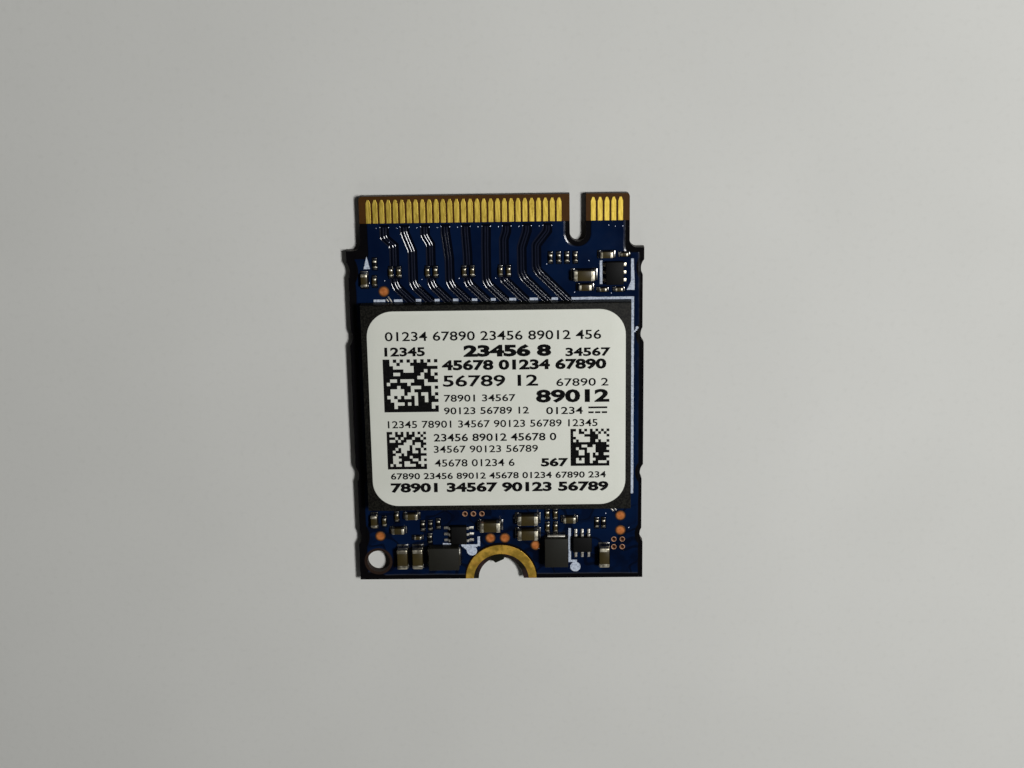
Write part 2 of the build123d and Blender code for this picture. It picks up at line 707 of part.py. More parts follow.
with BuildPart() as decoupling_capacitor_caps:
    pocketed_caps(small_spots, SMALL_L, SMALL_W, SMALL_H, SMALL_BAND)
decoupling_capacitor_caps.part.label = "decoupling_capacitor_caps"
export_step(decoupling_capacitor_caps.part, "parts/decoupling_capacitor_caps.step")

with BuildPart() as bulk_capacitor_bodies:
    pocketed_bodies(bulk_spots, BULK_L, BULK_W, BULK_H)
bulk_capacitor_bodies.part.label = "bulk_capacitor_bodies"
export_step(bulk_capacitor_bodies.part, "parts/bulk_capacitor_bodies.step")

with BuildPart() as bulk_capacitor_caps:
    pocketed_caps(bulk_spots, BULK_L, BULK_W, BULK_H, BULK_BAND)
bulk_capacitor_caps.part.label = "bulk_capacitor_caps"
export_step(bulk_capacitor_caps.part, "parts/bulk_capacitor_caps.step")

# Power inductors: a pressed block on two folded plates
with BuildPart() as inductor_bodies:
    with Locations(*[spot * Location((0, 0, INDUCTOR_LIFT)) for spot in inductor_spots]):
        Box(
            INDUCTOR_L - 2 * INDUCTOR_PLATE_T,
            INDUCTOR_W,
            INDUCTOR_H - INDUCTOR_LIFT,
            align=BETWEEN,
        )
inductor_bodies.part.label = "inductor_bodies"
export_step(inductor_bodies.part, "parts/inductor_bodies.step")

with BuildPart() as folded_plate:
    with BuildSketch(Plane.XZ):
        with BuildLine():
            Polyline(
                (0, 0),
                (0, INDUCTOR_PLATE_H),
                (-INDUCTOR_PLATE_T, INDUCTOR_PLATE_H),
                (-INDUCTOR_PLATE_T, INDUCTOR_LIFT),
                (-INDUCTOR_FOOT, INDUCTOR_LIFT),
                (-INDUCTOR_FOOT, 0),
                close=True,
            )
        make_face()
    extrude(amount=INDUCTOR_PLATE_W / 2, both=True)

with BuildPart() as inductor_terminals:
    with Locations(*ends(inductor_spots, INDUCTOR_L)):
        add(folded_plate.part)
inductor_terminals.part.label = "inductor_terminals"
export_step(inductor_terminals.part, "parts/inductor_terminals.step")

# Leadless load switch beside the key
switch_spot = stand([SWITCH_PLACE])[0]
with BuildPart() as load_switch_body:
    with Locations(switch_spot * Location((0, 0, SWITCH_PAD_T))):
        Box(SWITCH_W, SWITCH_L, SWITCH_H - SWITCH_PAD_T, align=BETWEEN)
load_switch_body.part.label = "load_switch_body"
export_step(load_switch_body.part, "parts/load_switch_body.step")

with BuildPart() as load_switch_pads:
    with Locations(*ends([switch_spot], SWITCH_W + 2 * SWITCH_PAD_PROUD)):
        with Locations(*[(0, step * SWITCH_PAD_PITCH, 0) for step in (-1, 0, 1)]):
            Box(SWITCH_PAD_L, SWITCH_PAD_W, SWITCH_PAD_T, align=OUTER_END)
load_switch_pads.part.label = "load_switch_pads"
export_step(load_switch_pads.part, "parts/load_switch_pads.step")

# A lead comes out of the body at mid height, drops and stands on its foot.
with BuildPart() as lead:
    with BuildSketch(Plane.XZ):
        with BuildLine():
            lead_top = CHIP_LIFT + CHIP_H / 2
            Polyline(
                (0, lead_top),
                (LEAD_KNEE, lead_top),
                (LEAD_KNEE + LEAD_T, LEAD_T),
                (LEAD_REACH, LEAD_T),
                (LEAD_REACH, 0),
                (LEAD_KNEE, 0),
                (LEAD_KNEE - LEAD_T / 2, lead_top - LEAD_T),
                (0, lead_top - LEAD_T),
                close=True,
            )
        make_face()
    extrude(amount=LEAD_W / 2, both=True)


def chip_body(spot):
    """A moulded chip body with bevelled top edges, added to the open part."""
    with Locations(spot * Location((0, 0, CHIP_LIFT))):
        Box(CHIP_W, CHIP_L, CHIP_H, align=BETWEEN)
    top_face = faces().sort_by(Axis.Z)[-1]
    chamfer(top_face.edges(), CHIP_LIFT)


def chip_leads(spot):
    """Three leads along each long side, added to the open part."""
    with Locations(*ends([spot], CHIP_W)):
        with Locations(*[(0, step * LEAD_PITCH, 0) for step in (-1, 0, 1)]):
            add(lead.part)


core_spot = stand([CORE_CHIP_PLACE])[0]
input_spot = stand([INPUT_CHIP_PLACE], UPRIGHT)[0]
with BuildPart() as core_regulator_body:
    chip_body(core_spot)
core_regulator_body.part.label = "core_regulator_body"
export_step(core_regulator_body.part, "parts/core_regulator_body.step")

with BuildPart() as core_regulator_leads:
    chip_leads(core_spot)
core_regulator_leads.part.label = "core_regulator_leads"
export_step(core_regulator_leads.part, "parts/core_regulator_leads.step")

with BuildPart() as input_regulator_body:
    chip_body(input_spot)
input_regulator_body.part.label = "input_regulator_body"
export_step(input_regulator_body.part, "parts/input_regulator_body.step")

with BuildPart() as input_regulator_leads:
    chip_leads(input_spot)
input_regulator_leads.part.label = "input_regulator_leads"
export_step(input_regulator_leads.part, "parts/input_regulator_leads.step")


def solder_wedge(width, height):
    """A wedge of solder against an end of this width, rising part of its height."""
    with BuildPart() as wedge:
        with BuildSketch(Plane.XZ):
            with BuildLine():
                Polyline((0, 0), (SOLDER_FOOT, 0), (0, height * SOLDER_RISE), close=True)
            make_face()
        extrude(amount=width / 2, both=True)
    return wedge.part


# Solder at both ends of every two-ended part
tiny_wedge = solder_wedge(TINY_W, TINY_H)
resistor_wedge = solder_wedge(TINY_W, RESISTOR_H)
small_wedge = solder_wedge(SMALL_W, SMALL_H)
bulk_wedge = solder_wedge(BULK_W, BULK_H)
inductor_wedge = solder_wedge(INDUCTOR_PLATE_W, INDUCTOR_PLATE_H)
with BuildPart() as solder_joints:
    with Locations(*ends(coupling_spots + tiny_spots, TINY_L)):
        add(tiny_wedge)
    with Locations(*ends(resistor_spots, TINY_L)):
        add(resistor_wedge)
    with Locations(*ends(small_spots, SMALL_L)):
        add(small_wedge)
    with Locations(*ends(bulk_spots, BULK_L)):
        add(bulk_wedge)
    with Locations(*ends(inductor_spots, INDUCTOR_L)):
        add(inductor_wedge)
solder_joints.part.label = "solder_joints"
export_step(solder_joints.part, "parts/solder_joints.step")
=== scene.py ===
import math
import random

import bpy
from mathutils import Matrix, Vector


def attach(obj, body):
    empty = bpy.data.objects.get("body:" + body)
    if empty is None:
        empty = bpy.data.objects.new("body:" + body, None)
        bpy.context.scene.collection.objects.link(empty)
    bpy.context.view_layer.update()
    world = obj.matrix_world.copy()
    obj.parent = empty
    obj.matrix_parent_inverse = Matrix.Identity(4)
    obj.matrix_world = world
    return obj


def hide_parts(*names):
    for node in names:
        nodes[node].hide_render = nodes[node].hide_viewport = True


# Pieces are modelled in millimetres and shrunk to metres when they are finished.
MM = 0.001

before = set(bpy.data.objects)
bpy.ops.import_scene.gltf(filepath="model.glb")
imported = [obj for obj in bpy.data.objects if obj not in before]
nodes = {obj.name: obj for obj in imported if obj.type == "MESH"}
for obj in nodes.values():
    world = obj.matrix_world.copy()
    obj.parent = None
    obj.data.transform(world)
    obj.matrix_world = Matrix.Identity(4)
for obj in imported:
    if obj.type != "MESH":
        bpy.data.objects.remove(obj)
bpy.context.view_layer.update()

# The card's outline, as the frame has it
SIDE = 11.0
TONGUE_SIDE = 9.925
SHOULDER_Y = 11.0
HOST_END = 15.0
SEAT_END = -15.0
KEY_X = 6.125
KEY_Y = 12.1
KEY_R = 0.6
CORNER_REACH = 0.6
NOTCH_X = 11.76
NOTCH_R = 1.0
NOTCH_Y = (9.45, 4.45, -6.42, -11.42)
CARD_TOP = 0.8
LABEL_TOP = 2.15
RING_OUTER_R = 2.75
RING_Y = -14.87
TOOLING_HOLE = (-9.53, -13.5)
# The dark margin under the mask is drawn this much wider at the left edge than at the right
LEFT_SHIFT = 0.25

# Corners of a frame node are told apart to a micron, and welded within half of one
MICRONS_PER_METRE = 1e6
MICRON = 0.001
WELD_GAP = 0.0005
# Degrees up to which a fold counts as flat, and from which an edge is rounded
FLAT_ANGLE = 1
SHARP_ANGLE = 25
# A face looks along an axis from this share of its normal, and is a wall below the other
FACING = 0.9
WALL = 0.1


def clear():
    """Leaves edit mode and selects nothing."""
    if bpy.context.object and bpy.context.object.mode != "OBJECT":
        bpy.ops.object.mode_set(mode="OBJECT")
    bpy.ops.object.select_all(action="DESELECT")


def hold(*objs):
    """Selects these objects only, the first as the active one."""
    clear()
    for obj in objs:
        obj.select_set(True)
    bpy.context.view_layer.objects.active = objs[0]


def settle(obj):
    """Puts an object's place, turn and size into its mesh."""
    hold(obj)
    bpy.ops.object.transform_apply(location=True, rotation=True, scale=True)


def name_piece(obj, name):
    """Names an object and its mesh."""
    obj.name = name
    obj.data.name = name


def block(name, low, high):
    """A box between two corners."""
    clear()
    size = [b - a for a, b in zip(low, high)]
    middle = [(a + b) / 2 for a, b in zip(low, high)]
    bpy.ops.mesh.primitive_cube_add(size=1, location=middle, scale=size)
    obj = bpy.context.object
    name_piece(obj, name)
    settle(obj)
    return obj


def pick_faces(obj, wanted):
    """Goes into edit mode with the faces selected that pass a test of middle and normal."""
    hold(obj)
    mesh = obj.data
    mesh.vertices.foreach_set("select", [False] * len(mesh.vertices))
    mesh.edges.foreach_set("select", [False] * len(mesh.edges))
    mesh.polygons.foreach_set("select", [bool(wanted(f.center, f.normal)) for f in mesh.polygons])
    bpy.context.tool_settings.mesh_select_mode = (False, False, True)
    bpy.ops.object.mode_set(mode="EDIT")


def pick_edges(obj, wanted):
    """Goes into edit mode with the edges selected that pass a test of their two ends."""
    hold(obj)
    mesh = obj.data
    mesh.vertices.foreach_set("select", [False] * len(mesh.vertices))
    mesh.polygons.foreach_set("select", [False] * len(mesh.polygons))
    chosen = [bool(wanted(*[mesh.vertices[i].co for i in e.vertices])) for e in mesh.edges]
    mesh.edges.foreach_set("select", chosen)
    bpy.context.tool_settings.mesh_select_mode = (False, True, False)
    bpy.ops.object.mode_set(mode="EDIT")


def pick_all(obj):
    """Goes into edit mode with all selected."""
    hold(obj)
    bpy.ops.object.mode_set(mode="EDIT")
    bpy.ops.mesh.select_all(action="SELECT")


def done():
    """Goes back to object mode."""
    bpy.ops.object.mode_set(mode="OBJECT")


def smooth(obj, angle):
    """Shades folds of up to this many degrees smooth."""
    hold(obj)
    bpy.ops.object.shade_smooth_by_angle(angle=math.radians(angle))


def soften(obj, width, segments=2, smooth_angle=40):
    """Rounds every sharp edge and shades the rounds smooth."""
    hold(obj)
    rounding = obj.modifiers.new("rounding", "BEVEL")
    rounding.width = width
    rounding.segments = segments
    rounding.limit_method = "ANGLE"
    rounding.angle_limit = math.radians(SHARP_ANGLE)
    bpy.ops.object.modifier_apply(modifier=rounding.name)
    smooth(obj, smooth_angle)
    return obj


def solids_of(node):
    """Lowest and highest corners, in millimetres, of each loose solid of a frame node."""
    mesh = nodes[node].data
    keys = [tuple(round(c * MICRONS_PER_METRE) for c in v.co) for v in mesh.vertices]
    leader = {key: key for key in keys}

    def lead(key):
        while leader[key] != key:
            leader[key] = leader[leader[key]]
            key = leader[key]
        return key

    for face in mesh.polygons:
        first, *others = [keys[i] for i in face.vertices]
        for other in others:
            leader[lead(other)] = lead(first)
    groups = {}
    for key in leader:
        groups.setdefault(lead(key), []).append(key)
    boxes = []
    for members in groups.values():
        low = Vector([min(m[i] for m in members) * MICRON for i in range(3)])
        high = Vector([max(m[i] for m in members) * MICRON for i in range(3)])
        boxes.append((low, high))
    return sorted(boxes, key=lambda b: (round(b[0].x, 3), round(b[0].y, 3)))


def middles_of(node):
    """Middle in plan of each loose solid of a frame node."""
    return [((low.x + high.x) / 2, (low.y + high.y) / 2) for low, high in solids_of(node)]


def spots_of(node):
    """Middle and turn of each two-ended part whose bodies are this node's solids."""
    sizes = [high - low for low, high in solids_of(node)]
    turns = [90 if size.y > size.x else 0 for size in sizes]
    return [(x, y, turn) for (x, y), turn in zip(middles_of(node), turns)]


def lay(model, spots, height=CARD_TOP):
    """A copy of the model at every spot, each with its own mesh, and the model taken away."""
    copies = []
    for x, y, turn in spots:
        copy = model.copy()
        copy.data = model.data.copy()
        bpy.context.collection.objects.link(copy)
        copy.location = (x, y, height)
        copy.rotation_euler = (0, 0, math.radians(turn))
        copies.append(copy)
    hold(*copies)
    bpy.ops.object.transform_apply(location=True, rotation=True, scale=True)
    bpy.data.objects.remove(model)
    return copies


def joined(copies):
    """One object of many."""
    if len(copies) > 1:
        hold(*copies)
        bpy.ops.object.join()
    return copies[0]


def traced(node):
    """A merged copy of a frame node in millimetres, free to be rounded."""
    copy = nodes[node].copy()
    copy.data = nodes[node].data.copy()
    for key in list(copy.keys()):
        del copy[key]
    copy.parent = None
    bpy.context.collection.objects.link(copy)
    copy.data.materials.clear()
    copy.scale = (1 / MM,) * 3
    settle(copy)
    pick_all(copy)
    bpy.ops.mesh.remove_doubles(threshold=WELD_GAP)
    bpy.ops.mesh.dissolve_limited(angle_limit=math.radians(FLAT_ANGLE))
    done()
    return copy


def finish_piece(obj, name, finish, slot, *replaced):
    """Shrinks a piece to metres, gives it its finish and sets it into the frame."""
    obj.scale = (MM,) * 3
    settle(obj)
    name_piece(obj, name)
    obj.data.materials.clear()
    obj.data.materials.append(finish)
    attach(obj, "root")
    if replaced:
        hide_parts(*replaced)


def paint_node(node, finish):
    """Gives a frame node its finish."""
    mesh = nodes[node].data
    mesh.materials.clear()
    mesh.materials.append(finish)


def colour(red, green, blue):
    """A colour read on a 0 to 255 scale, made linear."""
    linear = []
    for level in (red, green, blue):
        c = level / 255
        linear.append(c / 12.92 if c <= 0.04045 else ((c + 0.055) / 1.055) ** 2.4)
    return (*linear, 1)


# How strongly the finer octaves of a noise show
NOISE_ROUGHNESS = 0.55


class Finish:
    """A finish built node by node on the piece's own coordinates, in millimetres."""

    def __init__(self, name, roughness=0.5, metallic=0.0, specular=0.5):
        self.material = bpy.data.materials.new(name)
        self.material.use_nodes = True
        self.tree = self.material.node_tree
        self.shader = self.tree.nodes["Principled BSDF"]
        self.shader.inputs["Roughness"].default_value = roughness
        self.shader.inputs["Metallic"].default_value = metallic
        self.shader.inputs["Specular IOR Level"].default_value = specular
        where = self.tree.nodes.new("ShaderNodeTexCoord")
        scaled = self.tree.nodes.new("ShaderNodeVectorMath")
        scaled.operation = "SCALE"
        scaled.inputs["Scale"].default_value = 1 / MM
        self.tree.links.new(where.outputs["Object"], scaled.inputs[0])
        self.place = scaled.outputs[0]
        parts = self.tree.nodes.new("ShaderNodeSeparateXYZ")
        self.tree.links.new(self.place, parts.inputs[0])
        self.x, self.y, self.z = parts.outputs

    def feed(self, socket, value):
        """Links an output to a socket, or sets the socket."""
        if hasattr(value, "is_output"):
            self.tree.links.new(value, socket)
        else:
            socket.default_value = value

    def maths(self, operation, *values):
        """One step of arithmetic on numbers or outputs."""
        node = self.tree.nodes.new("ShaderNodeMath")
        node.operation = operation
        for socket, value in zip(node.inputs, values):
            self.feed(socket, value)
        return node.outputs[0]

    def noise(self, size, detail=3.0, stretch=None):
        """Noise whose features are about this many millimetres across."""
        place = self.place
        if stretch:
            mapping = self.tree.nodes.new("ShaderNodeMapping")
            mapping.inputs["Scale"].default_value = stretch
            self.tree.links.new(self.place, mapping.inputs["Vector"])
            place = mapping.outputs[0]
        node = self.tree.nodes.new("ShaderNodeTexNoise")
        node.inputs["Scale"].default_value = 1 / size
        node.inputs["Detail"].default_value = detail
        node.inputs["Roughness"].default_value = NOISE_ROUGHNESS
        self.tree.links.new(place, node.inputs["Vector"])
        return node.outputs[0]

    def span(self, value, low, high, out_low=0.0, out_high=1.0):
        """A value's span turned into another, clamped."""
        node = self.tree.nodes.new("ShaderNodeMapRange")
        node.interpolation_type = "SMOOTHSTEP"
        for socket, number in zip(node.inputs, (value, low, high, out_low, out_high)):
            self.feed(socket, number)
        return node.outputs[0]

    def mix(self, share, one, other):
        """Two colours mixed."""
        node = self.tree.nodes.new("ShaderNodeMix")
        node.data_type = "RGBA"
        self.feed(node.inputs[0], share)
        self.feed(node.inputs[6], one)
        self.feed(node.inputs[7], other)
        return node.outputs[2]

    def beyond(self, coordinate, middle, half):
        """How far a coordinate lies beyond this much on either side of a middle."""
        off = self.maths("ABSOLUTE", self.maths("SUBTRACT", coordinate, middle))
        return self.maths("MAXIMUM", self.maths("SUBTRACT", off, half), 0.0)

    def away(self, x, y, half_x=0.0, half_y=0.0):
        """Distance in plan from a point, or from a box or bar round it."""
        across = self.beyond(self.x, x, half_x)
        along = self.beyond(self.y, y, half_y)
        across_squared = self.maths("MULTIPLY", across, across)
        along_squared = self.maths("MULTIPLY", along, along)
        return self.maths("SQRT", self.maths("ADD", across_squared, along_squared))

    def use(self, base, roughness=None):
        """Sets the colour, and the roughness where it varies."""
        self.feed(self.shader.inputs["Base Color"], base)
        if roughness is not None:
            self.feed(self.shader.inputs["Roughness"], roughness)

    def relief(self, height, depth, strength=1.0):
        """Bumps of this depth in millimetres."""
        node = self.tree.nodes.new("ShaderNodeBump")
        node.inputs["Strength"].default_value = strength
        node.inputs["Distance"].default_value = depth * MM
        self.tree.links.new(height, node.inputs["Height"])
        before = self.shader.inputs["Normal"].links
        if before:
            self.tree.links.new(before[0].from_socket, node.inputs["Normal"])
        self.tree.links.new(node.outputs[0], self.shader.inputs["Normal"])


# Finishes

# Each pair says where a change of finish starts and where it is complete, in millimetres.
# In from the outline: the step that the copper makes in the mask, and its change of colour
COPPER_STEP = (0.24, 0.42)
COPPER_EDGE = (0.27, 0.37)
# Out from the middle of the ring, of a test point, of the screw seat and of the tooling hole
RING_GAP_R = (RING_OUTER_R + 0.04, RING_OUTER_R + 0.12)
TEST_POINT_RIM_R = (0.23, 0.37)
SEAT_STAIN_R = (2.2, 2.6)
HOLE_STAIN_R = (1.3, 1.5)
# Along the card: where the dark margin widens at its left, and where the copper is patchy before the seat
LEFT_SHIFT_X = (-9.0, -9.6)
SEAT_ZONE_Y = (-8.9, -9.3)
# The lying coil, and the part of its end that is painted in shade
LYING_COIL_X = (0.2, -0.2)
SHADED_END_Y = (-12.6, -12.85)
# Just under the card's top, between the cut edge and the bare top of the laminate
BARE_TOP_Z = (0.755, 0.764)


def inside_edge(finish):
    """Distance in from the card's outline without its side notches, and with them, in millimetres."""
    flat_x = finish.maths("ABSOLUTE", finish.x)
    from_side = finish.maths("SUBTRACT", SIDE, flat_x)
    from_shoulder = finish.maths("SUBTRACT", SHOULDER_Y, finish.y)
    body = finish.maths("MINIMUM", from_side, from_shoulder)
    tongue = finish.maths("SUBTRACT", TONGUE_SIDE, flat_x)
    inside = finish.maths("SMOOTH_MAX", body, tongue, CORNER_REACH)
    inside = finish.maths("MINIMUM", inside, finish.maths("SUBTRACT", finish.y, SEAT_END))
    key = finish.away(KEY_X, HOST_END, 0.0, HOST_END - KEY_Y)
    inside = finish.maths("MINIMUM", inside, finish.maths("SUBTRACT", key, KEY_R))
    notched = inside
    for y in NOTCH_Y:
        for x in (-NOTCH_X, NOTCH_X):
            from_notch = finish.maths("SUBTRACT", finish.away(x, y), NOTCH_R)
            notched = finish.maths("MINIMUM", notched, from_notch)
    return inside, notched


def mask_finish():
    """Dark blue solder mask over copper, near black where there is bare laminate under it."""
    mask = Finish("solder_mask_blue", roughness=0.16, specular=0.25)
    inside, notched = inside_edge(mask)
    ragged = mask.maths("MULTIPLY", mask.noise(1.6, 1), 0.1)
    shifted = mask.span(mask.x, *LEFT_SHIFT_X, 0.0, LEFT_SHIFT)
    margin_reach = mask.maths("ADD", ragged, shifted)
    rim = mask.maths("SUBTRACT", notched, margin_reach)
    copper = mask.span(mask.maths("SUBTRACT", inside, margin_reach), *COPPER_STEP)
    ring_edge = mask.span(mask.away(0.0, RING_Y), *RING_GAP_R)
    pour = mask.maths("MULTIPLY", mask.span(rim, *COPPER_EDGE), ring_edge)
    seat_zone = mask.span(mask.y, *SEAT_ZONE_Y)
    islands = mask.maths("ABSOLUTE", mask.maths("SUBTRACT", mask.noise(2.4, 1), 0.5))
    gaps = mask.maths("MULTIPLY", mask.span(islands, 0.03, 0.012), seat_zone)
    shade = mask.maths("MULTIPLY", mask.span(mask.noise(1.2, 2), 0.5, 0.62), seat_zone)
    worn = mask.maths("MAXIMUM", mask.maths("MULTIPLY", gaps, 0.7), mask.maths("MULTIPLY", shade, 0.45))
    cloud = mask.noise(4.0, 2)
    blue = mask.mix(mask.span(cloud, 0.35, 0.65), colour(4, 16, 41), colour(7, 24, 53))
    blue = mask.mix(worn, blue, colour(4, 7, 18))
    black = mask.mix(mask.noise(0.5, 3), colour(7, 7, 10), colour(13, 11, 12))
    mask.use(mask.mix(pour, black, blue), mask.span(mask.noise(0.6, 3), 0.3, 0.7, 0.13, 0.19))
    mask.relief(copper, 0.036)
    mask.relief(mask.noise(0.8, 2), 0.004, 0.5)
    return mask.material


def track_finish():
    """The same mask, thin over a raised track."""
    mask = Finish("solder_mask_on_track", roughness=0.1, specular=0.24)
    mask.use(mask.mix(mask.noise(0.4, 2), colour(20, 23, 36), colour(28, 31, 46)))
    return mask.material


def gap_and_shadow_finish():
    """Mask over bare laminate, where there is no copper under it, and painted shadow about the parts."""
    gap = Finish("mask_without_copper_and_shadow", roughness=0.18, specular=0.2)
    gap.use(gap.mix(gap.noise(0.5, 2), colour(2, 4, 12), colour(4, 7, 18)))
    return gap.material


def laminate_finish():
    """Glass-fibre laminate: brown and bare on the tongue, dark on the cut edges."""
    laminate = Finish("glass_laminate", roughness=0.5, specular=0.1)
    warp = laminate.noise(0.12, 2, (1, 0.15, 1))
    weft = laminate.noise(0.12, 2, (0.15, 1, 1))
    weave = laminate.maths("MULTIPLY", warp, weft)
    patch = laminate.noise(2.2, 3)
    bare = laminate.mix(patch, colour(52, 30, 2), colour(80, 48, 8))
    bare = laminate.mix(laminate.span(weave, 0.1, 0.4), bare, colour(64, 38, 6))
    layers = laminate.noise(0.09, 2, (0.12, 0.12, 1))
    edge = laminate.mix(layers, colour(20, 13, 8), colour(48, 34, 22))
    base = laminate.mix(laminate.span(laminate.z, *BARE_TOP_Z), edge, bare)
    at_seat = laminate.mix(laminate.span(patch, 0.4, 0.6), colour(16, 17, 8), colour(46, 32, 32))
    base = laminate.mix(laminate.span(laminate.away(0.0, SEAT_END), *SEAT_STAIN_R), at_seat, base)
    at_hole = laminate.mix(patch, colour(24, 17, 13), colour(50, 34, 25))
    base = laminate.mix(laminate.span(laminate.away(*TOOLING_HOLE), *HOLE_STAIN_R), at_hole, base)
    laminate.use(base, laminate.span(patch, 0.3, 0.7, 0.42, 0.62))
    laminate.relief(laminate.noise(0.08, 3, (1, 1, 2)), 0.01, 0.7)
    return laminate.material


def gold_finish():
    """Hard gold on the edge contacts, wiped along their length."""
    gold = Finish("contact_gold", roughness=0.4, metallic=1.0)
    wipe = gold.noise(0.35, 4, (3.5, 0.5, 1))
    blotch = gold.noise(0.5, 3)
    base = gold.mix(gold.span(wipe, 0.4, 0.62), colour(200, 172, 72), colour(218, 190, 88))
    base = gold.mix(gold.span(blotch, 0.6, 0.72, 0.0, 0.4), base, colour(150, 118, 46))
    gold.use(base, gold.span(wipe, 0.35, 0.7, 0.42, 0.5))
    return gold.material


def ring_finish():
    """Worn gold on the screw seat, scratched by the screw head."""
    ring = Finish("seat_gold", roughness=0.5, metallic=0.8)
    scar = ring.noise(0.5, 4)
    dent = ring.span(ring.noise(0.16, 2), 0.66, 0.72)
    base = ring.mix(ring.span(scar, 0.35, 0.65), colour(168, 136, 50), colour(206, 166, 68))
    warm = ring.span(ring.noise(1.1, 2), 0.52, 0.68, 0.0, 0.5)
    base = ring.mix(warm, base, colour(206, 146, 62))
    base = ring.mix(ring.maths("MULTIPLY", dent, 0.8), base, colour(66, 46, 16))
    ring.use(base, ring.span(scar, 0.35, 0.7, 0.44, 0.56))
    ring.relief(ring.noise(0.2, 3), 0.003, 0.6)
    return ring.material


def copper_finish():
    """Bare copper test points with a dull film, darker at their rims."""
    copper = Finish("bare_copper", roughness=0.5, metallic=0.5)
    film = copper.noise(0.25, 4)
    base = copper.mix(copper.span(film, 0.35, 0.65), colour(178, 100, 40), colour(198, 120, 60))
    distances = [copper.away(x, y) for x, y in middles_of("test_pads")]
    from_middle = distances[0]
    for distance in distances[1:]:
        from_middle = copper.maths("MINIMUM", from_middle, distance)
    base = copper.mix(copper.span(from_middle, *TEST_POINT_RIM_R), base, colour(84, 56, 28))
    copper.use(base, copper.span(film, 0.3, 0.7, 0.44, 0.55))
    copper.relief(copper.noise(0.12, 3), 0.002, 0.6)
    return copper.material


def tin_finish(name, bright, dark, roughness, grain=0.12, depth=0.008, metallic=1.0):
    """Tin or solder: bright metal with a fine uneven skin."""
    tin = Finish(name, roughness=roughness, metallic=metallic)
    skin = tin.noise(grain, 3)
    base = tin.mix(tin.span(skin, 0.35, 0.65), dark, bright)
    tin.use(base, tin.span(skin, 0.3, 0.7, roughness * 0.8, roughness * 1.3))
    tin.relief(skin, depth, 0.7)
    return tin.material


def plate_finish():
    """Rolled tin on the coils' ends, with painted shade along the lying coil's end but for its corner."""
    plate = Finish("rolled_tin_plate", roughness=0.32, metallic=0.4)
    skin = plate.noise(0.16, 3)
    lying = plate.span(plate.x, *LYING_COIL_X)
    painted_shade = plate.maths("MULTIPLY", lying, plate.span(plate.y, *SHADED_END_Y))
    base = plate.mix(plate.span(skin, 0.35, 0.65), colour(206, 201, 188), colour(240, 237, 226))
    # The dark colour on the lying coil's end is painted shade
    plate.use(plate.mix(painted_shade, base, colour(70, 66, 56)))
    plate.relief(skin, 0.02, 0.7)
    return plate.material


def ceramic_finish(name, dark, light, roughness=0.38):
    """Fired ceramic with a fine speckle."""
    ceramic = Finish(name, roughness=roughness, specular=0.25)
    speckle = ceramic.noise(0.07, 3)
    shade = ceramic.noise(0.9, 2)
    base = ceramic.mix(shade, dark, light)
    base = ceramic.mix(ceramic.span(speckle, 0.5, 0.7, 0.0, 0.4), base, dark)
    ceramic.use(base)
    ceramic.relief(speckle, 0.005, 0.6)
    return ceramic.material


def resin_finish(name, dark, light, roughness, grain, depth):
    """Moulded black epoxy with a fine spark-eroded grain."""
    resin = Finish(name, roughness=roughness, specular=0.15)
    fine = resin.noise(grain, 3)
    resin.use(resin.mix(resin.span(fine, 0.4, 0.62), dark, light))
    resin.relief(fine, depth, 0.8)
    return resin.material


def paper_finish():
    """White label stock, very slightly mottled."""
    paper = Finish("label_paper", roughness=0.62, specular=0.25)
    mottle = paper.noise(1.4, 3)
    fibre = paper.noise(0.09, 3)
    base = paper.mix(mottle, colour(214, 216, 204), colour(222, 223, 213))
    base = paper.mix(paper.span(fibre, 0.5, 0.75, 0.0, 0.12), base, colour(190, 189, 182))
    paper.use(base)
    paper.relief(fibre, 0.004, 0.4)
    return paper.material


def ink_finish(name, thin, full, roughness=0.6):
    """Printed ink with slightly uneven cover."""
    ink = Finish(name, roughness=roughness, specular=0.1)
    cover = ink.noise(0.14, 3)
    ink.use(ink.mix(ink.span(cover, 0.35, 0.55), thin, full))
    ink.relief(cover, 0.004, 0.5)
    return ink.material


def desk_finish():
    """Plain pale desk."""
    desk = Finish("pale_desk", roughness=0.7, specular=0.2)
    grain = desk.noise(0.5, 4)
    base = desk.mix(desk.noise(18.0, 2), colour(200, 200, 195), colour(211, 211, 206))
    base = desk.mix(desk.span(grain, 0.5, 0.8, 0.0, 0.18), base, colour(186, 186, 180))
    desk.use(base)
    desk.relief(grain, 0.02, 0.4)
    return desk.material


MASK = mask_finish()
TRACK = track_finish()
GAP_AND_SHADOW = gap_and_shadow_finish()
LAMINATE = laminate_finish()
GOLD = gold_finish()
RING = ring_finish()
COPPER = copper_finish()
TIN = tin_finish("tin_plating", colour(226, 220, 200), colour(196, 188, 166), 0.36, 0.3, 0.003)
PLATE = plate_finish()
LEG = tin_finish("tinned_leg", colour(240, 237, 226), colour(206, 201, 188), 0.32, 0.2, 0.01, 0.85)
SOLDER = tin_finish("solder_skin", colour(170, 170, 168), colour(128, 126, 124), 0.26, 0.3, 0.004)
VIA_PLATE = tin_finish("via_plate", colour(200, 156, 124), colour(164, 122, 94), 0.45, 0.12, 0.004, 0.5)
PLUG = tin_finish("via_plug", colour(206, 214, 232), colour(176, 184, 204), 0.36, 0.3, 0.003)
CERAMIC = ceramic_finish("capacitor_ceramic", colour(44, 37, 16), colour(66, 56, 28))
GLAZE = ceramic_finish("resistor_glaze", colour(6, 6, 6), colour(14, 13, 13), 0.3)
CORE = ceramic_finish("pressed_core", colour(19, 18, 12), colour(28, 27, 20), 0.6)
RESIN = resin_finish("package_resin", colour(4, 4, 2), colour(31, 30, 25), 0.62, 0.13, 0.012)
CHIP = resin_finish("chip_resin", colour(2, 2, 2), colour(6, 6, 6), 0.6, 0.05, 0.004)
